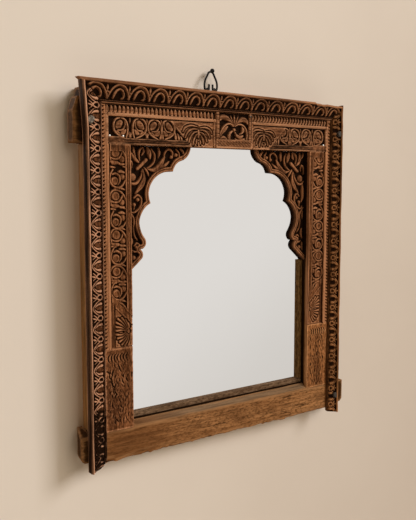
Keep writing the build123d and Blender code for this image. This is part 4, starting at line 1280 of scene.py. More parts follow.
def head_strokes(side, roundels, size, leaves):
    """Roundels, a fleur between each two, and three leaves beside the fan panel."""
    strokes = []
    for place, flip in roundels:
        strokes += placed(ROUNDEL, place, HEAD_MIDDLE, flip_x=flip, size=size, jitter=0.5)
    for (one, _), (two, _) in zip(roundels[:-1], roundels[1:]):
        strokes += placed(FLEUR, (one + two) / 2, HEAD_MIDDLE, jitter=0.4)
    for foot, tip, wide in leaves:
        strokes.append(leaf((foot, LEAF_FOOT, wide * 0.8, 4.0),
                            (foot + side * 0.8, (tip + LEAF_FOOT) / 2, wide, 4.4),
                            (foot + side * 2.8, tip, 0.7, 3.6)))
    return strokes


def fan_panel(side, x, z, face, deep):
    """The plain slanted panel beside the block, with its lines and its half fan, and the panel's mask."""
    here = HEAD_SIDES[side]
    up = held((z - OPENING_TOP) / PANEL_HEIGHT)
    edge = here["panel_foot"] + (here["panel_top"] - here["panel_foot"]) * up
    inner = side * (edge - x)
    panel = (inner > 0) & ((side < 0) | (x > 56))
    top = 44.6 - 0.7 * fine_line(inner - 7, 0.7) - 0.6 * fine_line(inner - 10, 0.7)
    if side < 0:
        hatch = (inner > 0) & (inner < 15) & (z < 278)
        top = top - 0.45 * hatch * (0.5 + 0.5 * np.sin((inner + 0.25 * (z - OPENING_TOP)) * 2 * np.pi / 2.7))
    for level in (291.6, 288.9):
        top = top - 0.6 * fine_line(z - level, 0.5) * (inner > 6)
    strokes = FAN_LEFT + FAN_CORE + placed(mirrored(FAN_LEFT), size=0.86)
    if side > 0:
        strokes = placed(strokes, size=0.92)
    face, deep = fan(x, z, face, deep, panel, here["fan"], strokes, top)
    return face, deep, panel


def head_shape(side):
    """The head board left or right of the centre block."""
    here = HEAD_SIDES[side]

    def shape(x, z):
        out = np.abs(x)
        face, deep = carved_ground(x, z, head_strokes(side, here["roundels"], here["size"], here["leaves"]))
        face, deep, panel = fan_panel(side, x, z, face, deep)
        lines = sum(0.8 * fine_line(z - level, 0.55) for level in (252.2, 256.4))
        grey = 0.64 + 0.16 * soft_noise(x / 21, z / 2.2, seed=47) + 0.10 * soft_noise(x / 5, z / 1.4, seed=48)
        grey = np.clip(grey + lines * 0.4, 0, 0.95)
        face, deep = lay(face, deep, (z < 259.4) & ~panel, LIP_FACE - lines, grey)
        patch = (out > here["patch"]) & (out < 252) & (z < 262)
        stain = 0.58 + 0.2 * soft_noise(x / 7, z / 7, seed=49)
        face, deep = lay(face, deep, patch, PATCH_FACE, stain)
        slits = ((z > 293.2) & (z < 295.4) & ~patch) | ((out < 252) & (out > 250.4) & (z > 262))
        face, deep = lay(face, deep, slits, SLIT_FACE, SLIT_DIRT)
        rail = np.maximum(bead(z - 298), np.where(z < FACING_TOP, bead(out - 255), OFF_BEAD))
        end_bead = bead(x - here["end_bead"], 6.0, 45.8)
        rail = np.maximum(rail, np.where(z > OPENING_TOP, end_bead, OFF_BEAD))
        face, deep = lay(face, deep, rail > 0, rail, 0)
        return face + worn(x, z, 41 + side), deep

    return shape


for name, node, side, x_range in (("left_head_board", "left_head_facing", -1, (-FACING_X, BLOCK_LEFT)),
                                  ("right_head_board", "right_head_facing", 1, (BLOCK_RIGHT, FACING_X))):
    piece = board(name, x_range, (OPENING_TOP, FACING_TOP), 0.62, head_shape(side))
    stand_for(piece, node, carved_x)

# %% Motifs of the stile vine
VINE_UPPER = [
    rib((19.4, -15.0, 1.6, 4.2), (15.8, 0.5, 2.0, 4.8), (6.6, 12.4, 2.0, 4.8), (-6.8, 16.2, 2.0, 4.8),
        (-15.6, 10.4, 2.0, 4.6), (-17.4, 0.6, 1.8, 4.4), (-15.0, -9.6, 1.6, 4.2)),
    ("dish", [(-5.0, 4.6, 8.2, 4.4), (-4.4, 4.0, 8.2, 4.4)]),
    rib((-14.0, -5.0, 1.5, 4.0), (-8.0, -7.6, 2.0, 4.6), (1.4, -6.4, 2.2, 4.6), (7.8, 0.6, 2.0, 4.4),
        (9.8, 6.0, 1.2, 3.8)),
    spot(10.0, -8.0, 5.6, 4.4),
    leaf((-15.0, -12.4, 1.9, 3.8), (-8.6, -14.6, 4.2, 4.4), (-0.6, -14.6, 3.2, 4.2)),
    leaf((1.6, -15.0, 1.8, 3.8), (7.0, -17.4, 2.6, 4.2), (14.4, -17.4, 2.0, 4.0)),
]
VINE_LOWER = [
    rib((-10.0, 17.4, 1.6, 4.2), (-16.2, 7.0, 2.0, 4.8), (-16.8, -4.6, 2.0, 4.8), (-10.0, -13.8, 2.0, 4.8),
        (0.8, -17.0, 1.9, 4.6), (9.4, -13.6, 1.8, 4.4), (15.4, -5.4, 1.8, 4.2), (19.0, 4.8, 1.5, 4.0)),
    ("dish", [(-6.4, -4.6, 7.4, 4.4), (-5.8, -4.0, 7.4, 4.4)]),
    rib((-11.4, 8.4, 1.6, 4.2), (-4.0, 9.8, 2.4, 4.8), (3.8, 4.6, 2.4, 4.8), (4.4, -4.4, 2.2, 4.6),
        (0.6, -11.4, 1.4, 4.0)),
    spot(10.8, 3.6, 5.2, 4.4),
    leaf((1.4, 13.2, 1.8, 4.0), (7.4, 13.8, 3.2, 4.4), (14.4, 12.0, 2.0, 4.0)),
]
VINE_KNOT = [
    leaf((2.0, 1.0, 2.2, 4.4), (9.0, -0.4, 2.2, 4.4), (18.6, -4.2, 0.5, 3.0)),
    leaf((2.0, 0.6, 1.8, 4.2), (8.0, 3.6, 1.5, 4.0), (13.4, 5.6, 0.4, 2.8)),
    leaf((1.0, 0.4, 1.8, 4.0), (-4.6, -1.4, 1.9, 4.0), (-9.4, 1.6, 0.5, 3.0)),
    spot(2.6, -0.2, 2.5, 4.8),
]
VINE_SPUR = [
    leaf((-18.0, 0.6, 0.6, 2.8), (-12.6, 0.4, 1.9, 4.2), (-6.0, -0.6, 1.6, 4.0)),
    spot(-14.6, 0.4, 2.0, 4.4),
    rib((12.0, 1.8, 1.5, 3.8), (16.4, 0.2, 1.9, 4.2), (18.8, -2.6, 1.0, 3.6)),
]
VINE_PLACES = [(230, 0), (190, 1), (157, 0), (120.5, 1), (90.5, 0), (58.5, 1), (27.5, 0), (-3.0, 1),
               (-37.0, 0), (-70.0, 1)]
print("vine motifs", len(VINE_UPPER) + len(VINE_LOWER) + len(VINE_KNOT) + len(VINE_SPUR))

# %% Fan at the vine's foot
FAN_RAYS = ((92, 14), (105, 21), (118, 28), (131, 32), (144, 30), (158, 27), (173, 24.5), (189, 24),
            (206, 24), (223, 24.5), (239, 26), (253, 26.5))
RAY_START = 5.0
STILE_SIDES = {
    -1: {"panel": (-22.0, 250.0, 1.0), "heart": (-217.5, -75.0)},
    1: {"panel": (-30.0, 247.0, 0.94), "heart": (219.0, -80.0)},
}


def foot_fan(side):
    """Petals that spread from a dish, curling up in the upper half and down in the lower."""
    rays = []
    for angle, reach in FAN_RAYS:
        c, s = math.cos(math.radians(angle)), math.sin(math.radians(angle))
        bend = 2.6 if angle > 180 else -1.6
        rays.append(petal((RAY_START * c, RAY_START * s, 0.6),
                          (0.55 * reach * c - bend * s, 0.55 * reach * s + bend * c, 1.3),
                          (reach * c, reach * s, 1.9)))
    rays.append(spot(0, 0, 3.4, 4.6, "dish"))
    return mirrored(rays) if side > 0 else rays


def vine_strokes():
    """Roundels of the vine in turn, with a knot or a spur between each two."""
    strokes = []
    for place, kind in VINE_PLACES:
        motif = stouter(VINE_LOWER if kind else VINE_UPPER, 1.16)
        strokes += placed(motif, 0, place, size=0.88, jitter=0.5)
    for (one, kind), (two, _) in zip(VINE_PLACES[:-1], VINE_PLACES[1:]):
        motif = stouter(VINE_KNOT if kind else VINE_SPUR, 1.2)
        strokes += placed(motif, 0, (one + two) / 2, size=0.88, jitter=0.5)
    return strokes


print("rays", len(FAN_RAYS))

# %% Carve the stile boards
STILE_MIDDLE = 235.0


def vine_shape(side):
    """The board up a stile; side -1 is the left one."""
    top_edge, from_x, fall = STILE_SIDES[side]["panel"]

    def shape(x, z):
        outer = np.abs(x)
        across = side * (side * STILE_MIDDLE - x)
        face, deep = carved_ground(across, z, vine_strokes())
        edge = top_edge - (from_x - outer) * fall
        inner = edge - z
        plain = (z < edge + 13) & (outer < 249)
        border = 43.6 - 0.5 * fine_line(edge + 9 - z, 0.7)
        face, deep = lay(face, deep, plain, border, 0.30 + 0.2 * soft_noise(x / 9, z / 9, seed=66))
        panel = (z < edge) & (outer < 243)
        top = 44.4 + 0.9 * fine_line(inner - 1.2, 1.3) - 1.0 * fine_line(inner - 4.4, 0.8)
        face, deep = fan(x, z, face, deep, panel, STILE_SIDES[side]["heart"], foot_fan(side), top)
        deep = np.where(panel & (inner < 2.6), 0, deep)
        strip = (z < edge + 1.5) & (outer > 243) & (outer < 250.4)
        line = fine_line(outer - 246.8, 0.8) * held((z + 62) / 10)
        face, deep = lay(face, deep, strip, 42.6 + 1.2 * line, 0.66 - 0.5 * line)
        lines = sum(0.9 * fine_line(outer - place, 0.55) for place in (213.0, 217.4))
        grey = np.clip(0.22 + 0.2 * soft_noise(x / 2.0, z / 19, seed=67) + lines * 0.6, 0, 0.8)
        face, deep = lay(face, deep, (outer < 220.5) & (z > edge + 13), LIP_FACE - lines, grey)
        stain = 0.58 + 0.2 * soft_noise(x / 7, z / 7, seed=68)
        face, deep = lay(face, deep, (z > 237) & (outer < 250), PATCH_FACE, stain)
        face, deep = lay(face, deep, (outer < 252.2) & (outer > 250.4), SLIT_FACE, SLIT_DIRT)
        rail = bead(outer - 255)
        face, deep = lay(face, deep, rail > 0, rail, 0)
        face, deep = lay(face, deep, (z < JOINTS[side] + 2.0) & (outer < 252), 42.4, 0.6)
        return face + worn(x, z, 61 + side), deep

    return shape


for name, node, side, x_range in (("left_vine_board", "left_vine_facing", -1, (-FACING_X, -OPENING_X)),
                                  ("right_vine_board", "right_vine_facing", 1, (OPENING_X, FACING_X))):
    piece = board(name, x_range, (JOINTS[side], OPENING_TOP), 0.66, vine_shape(side))
    stand_for(piece, node, carved_z)

# %% Cuts of the foot panels
FLAWS = np.random.RandomState(19)
FEATHERS, FEATHER_PITCH = 7, 5.8
FLAW_ROWS, FLAW_COLUMNS = 12, 6
ZIGZAG = ((261, 38), (257, 42), (256, 50), (252, 54), (251, 63), (247, 68), (246, 76), (242, 82))


def foot_strokes(side, joint):
    """Feathered cuts under the joint, a zigzag crack on the left, and rows of worn nicks below them."""
    strokes = []
    for step in range(FEATHERS):
        place = 222 + FEATHER_PITCH * step
        strokes.append(rib((place - 2.0, joint - 9, 0.8, 1.6), (place + 1.2, joint - 14, 1.5, 2.6),
                           (place + 0.6, joint - 20, 1.2, 2.2), (place - 2.4, joint - 25, 0.6, 1.4)))
    if side < 0:
        strokes.append(rib(*[(u, joint - down, 1.3, 2.4) for u, down in ZIGZAG]))
    for row in range(FLAW_ROWS):
        for column in range(FLAW_COLUMNS):
            u = 220 + 6.2 * column + 3.0 * (row % 2) + FLAWS.uniform(-1.6, 1.6)
            v = joint - 31 - 9.0 * row + FLAWS.uniform(-2.6, 2.6)
            lean, tall, wide = FLAWS.uniform(-3.8, 3.8), FLAWS.uniform(3.2, 7.0), FLAWS.uniform(0.8, 1.7)
            cut = FLAWS.uniform(0.9, 2.9)
            strokes.append(rib((u - lean * 0.5, v + tall, wide * 0.4, cut * 0.6), (u + 0.9, v + 1, wide, cut),
                               (u + lean * 0.6, v - tall * 0.7, wide * 0.5, cut * 0.7)))
    return strokes


print("nicks", FLAW_ROWS * FLAW_COLUMNS)

# %% Carve the foot panels
FOOT_FACE = 44.3
FOOT_LOW = -249


def foot_shape(side):
    """Shallow, rubbed cuts on the foot of a stile."""
    joint = JOINTS[side]

    def shape(x, z):
        outer = np.abs(x)
        cuts = np.zeros_like(x)
        raise_strokes(cuts, outer, z, foot_strokes(side, joint))
        lines = sum(0.8 * fine_line(outer - place, 0.6) for place in (213.4, 216.8, 220.6))
        lines = lines * held((joint - 12 - z) / 6) * held((z + 240) / 8)
        rough = worn(x, z, 81 + side) * 2.0 + soft_noise(x / 3.2, z / 11, seed=88) * 0.25
        wear = 0.75 + 0.25 * soft_noise(x / 30, z / 40, seed=85)
        return FOOT_FACE - cuts * wear - lines + rough, np.clip((cuts + lines) * 0.66, 0, 0.95)

    return shape


for name, node, side, x_range, paint in (
    ("left_foot_board", "left_foot_facing", -1, (-EDGE_X, -OPENING_X), carved_z),
    ("right_foot_board", "right_foot_facing", 1, (OPENING_X, EDGE_X), foot_z),
):
    stand_for(board(name, x_range, (FOOT_LOW, JOINTS[side]), 0.7, foot_shape(side)), node, paint)

# %% Motif of the centre block
PALMETTE = [
    leaf((-2.6, 8.6, 1.4, 5.4), (-10.0, 15.4, 3.4, 6.4), (-19.0, 20.4, 5.0, 6.4), (-28.0, 20.6, 4.8, 6.2),
         (-32.6, 15.0, 2.4, 5.4)),
    leaf((2.8, 8.4, 1.4, 5.4), (11.5, 14.0, 3.2, 6.2), (21.0, 18.6, 4.8, 6.4), (29.6, 17.0, 4.2, 6.0),
         (33.6, 11.6, 1.8, 5.0)),
    leaf((-1.2, 7.0, 1.2, 5.4), (-4.0, 16.0, 1.7, 5.6), (-7.6, 24.5, 0.7, 4.2)),
    leaf((0, 6.0, 1.4, 5.4), (1.0, 16.0, 2.3, 6.2), (1.4, 27.0, 0.8, 4.4)),
    leaf((2.0, 7.0, 1.2, 5.4), (7.0, 17.0, 1.7, 5.6), (11.4, 25.0, 0.7, 4.2)),
    rib((-1.6, 5.4, 1.7, 6.0), (-9.0, 9.6, 2.0, 6.2), (-18.0, 7.6, 2.2, 6.2), (-26.0, 1.0, 2.2, 6.0),
        (-32.0, -8.6, 2.0, 5.6), (-33.6, -17.0, 1.4, 5.0)),
    leaf((-15.0, 4.0, 1.6, 5.0), (-21.6, -1.0, 5.0, 6.2), (-27.6, -7.2, 4.0, 5.8),
         (-30.0, -12.6, 1.6, 4.6)),
    rib((3.0, 5.4, 1.6, 6.0), (11.0, 9.4, 1.9, 6.2), (20.0, 8.0, 2.1, 6.2), (28.0, 1.6, 2.2, 6.0),
        (31.4, -8.6, 2.2, 5.8), (31.0, -19.0, 1.8, 5.2)),
    leaf((20.0, 4.6, 1.4, 5.0), (21.6, -1.0, 3.8, 6.0), (19.4, -6.4, 2.4, 5.4), (14.0, -9.0, 1.0, 4.4)),
    spot(1.0, -1.6, 3.6, 6.6),
    leaf((-3.4, -3.6, 1.6, 5.0), (-9.4, -9.0, 3.2, 6.0), (-11.4, -15.4, 4.4, 6.2), (-9.6, -20.4, 2.4, 5.2)),
    leaf((-31.0, -19.0, 1.8, 5.0), (-24.6, -16.2, 3.4, 5.8), (-17.6, -18.6, 2.0, 5.2)),
    leaf((3.4, -6.4, 1.6, 5.2), (8.0, -12.4, 3.4, 6.2), (15.0, -15.0, 3.8, 6.2), (21.6, -11.8, 1.8, 5.2)),
    rib((4.0, -18.6, 1.8, 5.0), (10.0, -20.4, 2.4, 5.6), (18.0, -19.4, 2.6, 5.6), (25.0, -18.0, 2.2, 5.2)),
]
print("palmette strokes", len(PALMETTE))

# %% Carve the centre block
BLOCK_MIDDLE = (12.0, 284.5)
BLOCK_FLOOR, BLOCK_SIDE, BLOCK_SILL = 41.6, 48.0, 48.2


def block_shape(x, z):
    """The palmette block over the arch, between grooved sides and over a ropework sill."""
    u, v = x - BLOCK_MIDDLE[0], z - BLOCK_MIDDLE[1]
    ground = np.zeros_like(x)
    raise_strokes(ground, u, v, placed(PALMETTE, jitter=0.3))
    face, deep = BLOCK_FLOOR + ground, held(1 - ground / 4.6)
    lines = sum(1.0 * fine_line(np.abs(u) - place, 0.6) for place in (36.2, 40.6))
    lines = lines + 1.1 * fine_line((z - 262) % 8.6 - 4.3, 0.8) * (z > 264)
    face, deep = lay(face, deep, np.abs(u) > 35, BLOCK_SIDE - lines, np.clip(lines * 0.6, 0, 0.6))
    lines = sum(0.9 * fine_line(z - place, 0.55) for place in (252.5, 255.6, 259.6, 262.6))
    lines = lines + 0.9 * held(np.cos((x * 0.75 + z) * 1.15)) * (z < 262.6) * (z > 252.5)
    face, deep = lay(face, deep, z < 264.5, BLOCK_SILL - lines, np.clip(lines * 0.6, 0, 0.6))
    return face + worn(x, z, 95) * 1.2, deep


piece = board("palmette_block", (BLOCK_LEFT, BLOCK_RIGHT), (OPENING_TOP, EDGE_Z), 0.55, block_shape)
stand_for(piece, "centre_block", carved_x)

# %% [markdown]
# ## Plain timbers and nails
# The head, the sill and the two stiles keep their packed joints, but their arrises are worn round and
# their faces have sunk along the grain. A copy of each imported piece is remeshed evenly, smoothed, and
# its points are pushed in by noise that is stretched along the grain. The sill's lower edge is ragged,
# and its left ear reaches back to the wall with a sloping top. The nail heads are hammered lumps, each
# a little different.

# %% Remesh a packed timber
def even_copy(name, node, size):
    """A copy of a packed timber whose faces are all about as large as size, in mm."""
    source = frame["nodes"][node]
    piece = source.copy()
    piece.data = source.data.copy()
    piece.name = name
    bpy.context.scene.collection.objects.link(piece)
    piece.parent = None
    piece.matrix_world = source.matrix_world.copy()
    pick(piece)
    bpy.ops.object.transform_apply(location=True, rotation=True, scale=True)
    bpy.ops.object.mode_set(mode="EDIT")
    bpy.ops.mesh.select_all(action="SELECT")
    bpy.ops.mesh.remove_doubles(threshold=TOUCHING)
    bpy.ops.object.mode_set(mode="OBJECT")
    piece.data.remesh_voxel_size = size * MM
    bpy.ops.object.voxel_remesh()
    bpy.ops.object.mode_set(mode="EDIT")
    bpy.ops.mesh.select_all(action="SELECT")
    bpy.ops.mesh.vertices_smooth(factor=0.5, repeat=3)
    bpy.ops.object.mode_set(mode="OBJECT")
    return piece


print("remesher ready")

# %% Wear a timber
SINK = 0.75
RAGGED_HEIGHT, RAGGED_DEPTH = 13, 3.6
EAR_X, EAR_LONG, EAR_DEEP, EAR_LOW, EAR_HIGH = -289, 23, 43, -299, 50


def sunk(places, normals, along_x, top_only=False, ragged=False):
    """The places once the faces have sunk along the grain; ragged also breaks the lower edge."""
    x, y, z = places.T
    u, v = (x, z) if along_x else (z, x)
    dent = 0.5 + 0.5 * soft_noise(u / 70, v / 7, y / 7, seed=201)
    dent += 0.35 * (1 + soft_noise(u / 22, v / 2.6, y / 2.6, seed=202))
    push = SINK * dent
    if ragged:
        low = held((z.min() + RAGGED_HEIGHT - z) / RAGGED_HEIGHT) * held((-30 - y) / 12)
        push = push + low**2 * RAGGED_DEPTH * (0.7 + soft_noise(x / 24, y / 20, z / 14, seed=203)
                                               + 0.5 * soft_noise(x / 7, z / 6, seed=204))
    sideways = normals[:, 2] if along_x else normals[:, 0]
    sides = held(np.abs(sideways) * 2 - 1)
    if top_only:
        sides = sides * (sideways > 0)
    front = held((-normals[:, 1] - 0.5) * 4) + sides
    return places - normals * (np.maximum(push, 0.05) * held(front))[:, None]


def shape_left_ear(places):
    """Draws the sill's left ear back to the wall and slopes its top, as on the old frame."""
    x, y, z = places.T
    out = held((EAR_X - x) / 3)
    shifted = -1.0 + (y + 12) * EAR_DEEP / 26
    behind = (shifted + 44) / EAR_DEEP
    high = held((z - EAR_LOW) / EAR_HIGH)
    places[:, 1] += out * (shifted - y)
    places[:, 2] += out * (high * (11.0 * behind - 3.5) + (1 - high) * (1.5 - 4.5 * behind))
    places[:, 0] += out * behind * 12 * held((EAR_X - x) / EAR_LONG)


print("wearing helpers ready")

# %% Wear the four timbers
def worn_timber(name, node, material, along_x, size=2.1, top_only=False, ragged=False):
    """A worn copy of a packed timber, marked where it lies in the carving's shadow."""
    piece = even_copy(name, node, size)
    mesh = piece.data
    places = sunk(read_points(mesh) / MM, read_points(mesh, "normal"), along_x, top_only, ragged)
    x, y, z = places.T
    gloom = np.zeros(len(places))
    if ragged:
        groove = held((y + 29.8) / 2.0) * (z > -244) * (np.abs(x) < 211)
        places[:, 2] -= 1.6 * groove
        gloom = groove * 1.3
        shape_left_ear(places)
    if not along_x:
        beside_opening = (np.abs(x) < 213) & (np.abs(z) < 251)
        gloom = np.maximum(held((y + 37) / 5), held((y + 44) / 3) * held((z - 22) / 8)) * beside_opening
    write_points(mesh, places)
    bpy.ops.object.shade_smooth()
    mark_ridges(mesh, rounds=8, scale=1600.0)
    write_mark(mesh, "depth", gloom)
    stand_for(piece, node, material)


worn_timber("worn_head", "head_rail", beam_x, True, top_only=True)
worn_timber("worn_sill", "sill_rail", sill_x, True, ragged=True)
worn_timber("worn_left_stile", "left_stile", stile_z, False, size=2.4)
worn_timber("worn_right_stile", "right_stile", stile_z, False, size=2.4)

# %% Hammer the nail heads
NAIL_TURNS = (35, 10, -25)
HEAD_WIDE, HEAD_TALL, HEAD_THICK = 7.0, 5.8, 2.7
HEAD_FACE = 56.4
SHANK_RADIUS, SHANK_LENGTH, SHANK_MIDDLE = 2.25, 40, 33


def nail_head(x, z, turn, seed):
    """A lumpy oval head."""
    bpy.ops.mesh.primitive_uv_sphere_add(segments=28, ring_count=16, radius=1)
    head = bpy.context.object
    a, b, c = read_points(head.data).T
    lump = 1 + 0.13 * soft_noise(a * 1.6, b * 1.6, c * 1.6, seed=seed)
    u, v = a * HEAD_WIDE * lump, c * HEAD_TALL * lump
    flat = np.clip(b * 1.5, -1, 1) * HEAD_THICK * lump
    write_points(head.data, np.stack([x + u * math.cos(turn) - v * math.sin(turn), -HEAD_FACE + flat,
                                      z + u * math.sin(turn) + v * math.cos(turn)], axis=1))
    return head


def nail_shank(x, z):
    """A round shank that runs back into the timber."""
    bpy.ops.mesh.primitive_cylinder_add(vertices=12, radius=SHANK_RADIUS * MM, depth=SHANK_LENGTH * MM,
                                        location=(x * MM, -SHANK_MIDDLE * MM, z * MM),
                                        rotation=(math.radians(90), 0, 0))
    bpy.ops.object.transform_apply(location=True, rotation=True, scale=True)
    return bpy.context.object


parts = []
for count, ((x, z), turn) in enumerate(zip(NAILS, NAIL_TURNS)):
    parts += [nail_head(x, z, math.radians(turn), 300 + count), nail_shank(x, z)]
pick(parts[0])
for part in parts:
    part.select_set(True)
bpy.ops.object.join()
nails = bpy.context.object
nails.name = "hammered_nails"
bpy.ops.object.shade_smooth_by_angle(angle=math.radians(35))
stand_for(nails, "border_nails", grey_iron)

# %% [markdown]
# ## Arch brackets
# Each bracket is a thick cusped board in an upper corner of the opening. Its edge carries a rolled rim
# with a fine groove, and inside the rim deep leaves and curls stand on a ground that was cut away. The
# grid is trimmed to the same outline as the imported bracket, and its border points are set on that
# outline. The right bracket is a mirrored copy, cut once more with its own small differences.

# %% Bracket outline
SPAN, DROP = 134.0, 225.0
CUSPS = [
    (1.0, 0.0), (0.953, -0.073), (0.836, -0.115), (0.749, -0.152), (0.713, -0.200),
    None, (0.599, -0.204), (0.410, -0.264), (0.328, -0.369), (0.334, -0.409), (0.358, -0.451),
    (0.236, -0.511), (0.183, -0.596), (0.205, -0.664), (0.261, -0.724), (0.276, -0.778), (0.233, -0.809),
    None, (0.190, -0.811), (0.234, -0.853), (0.205, -0.893), None, (0.0, -1.0),
]


def arc_through(a, b, c, count=14):
    """Points on the arc from a to c through b."""
    (ax, ay), (bx, by), (cx, cy) = a, b, c
    d = 2 * (ax * (by - cy) + bx * (cy - ay) + cx * (ay - by))
    far_a, far_b, far_c = ax**2 + ay**2, bx**2 + by**2, cx**2 + cy**2
    ox = (far_a * (by - cy) + far_b * (cy - ay) + far_c * (ay - by)) / d
    oy = (far_a * (cx - bx) + far_b * (ax - cx) + far_c * (bx - ax)) / d
    start, middle, end = (math.atan2(p[1] - oy, p[0] - ox) for p in (a, b, c))
    sweep = (end - start) % math.tau
    if (middle - start) % math.tau > sweep:
        sweep -= math.tau
    radius = math.hypot(ax - ox, ay - oy)
    angles = [start + sweep * k / count for k in range(count)]
    return [(ox + radius * math.cos(angle), oy + radius * math.sin(angle)) for angle in angles]


def cusp_line():
    """The bracket's cusped edge, from its toe under the head to its foot on the stile."""
    points, run = [], []
    for share in CUSPS + [None]:
        if share:
            run.append((share[0] * SPAN, share[1] * DROP))
            continue
        for k in range(0, len(run) - 2, 2):
            points += arc_through(run[k], run[k + 1], run[k + 2])
        points.append(run[-1])
        run = []
    return np.array(points)


cusp = cusp_line()
print("cusped edge points", len(cusp))

# %% Distance to the outline
def distance_to(line, x, y):
    """Distance of points to a line of short pieces, and the nearest place on it."""
    best = np.full(x.shape, 1e9)
    near = np.zeros(x.shape + (2,))
    for (ax, ay), (bx, by) in zip(line[:-1], line[1:]):
        dx, dy = bx - ax, by - ay
        t = held(((x - ax) * dx + (y - ay) * dy) / (dx**2 + dy**2 + 1e-12))
        qx, qy = ax + t * dx, ay + t * dy
        gap = np.hypot(x - qx, y - qy)
        closer = gap < best
        best = np.where(closer, gap, best)
        near[closer] = np.stack([qx, qy], axis=-1)[closer]
    return best, near


def inside(polygon, x, y):
    """True where a point lies inside a closed polygon."""
    hit = np.zeros(x.shape, bool)
    for (ax, ay), (bx, by) in zip(polygon, np.roll(polygon, -1, axis=0)):
        crosses = (ay > y) != (by > y)
        with np.errstate(divide="ignore", invalid="ignore"):
            hit ^= crosses & (x < (bx - ax) * (y - ay) / (by - ay) + ax)
    return hit


print("outline helpers ready")

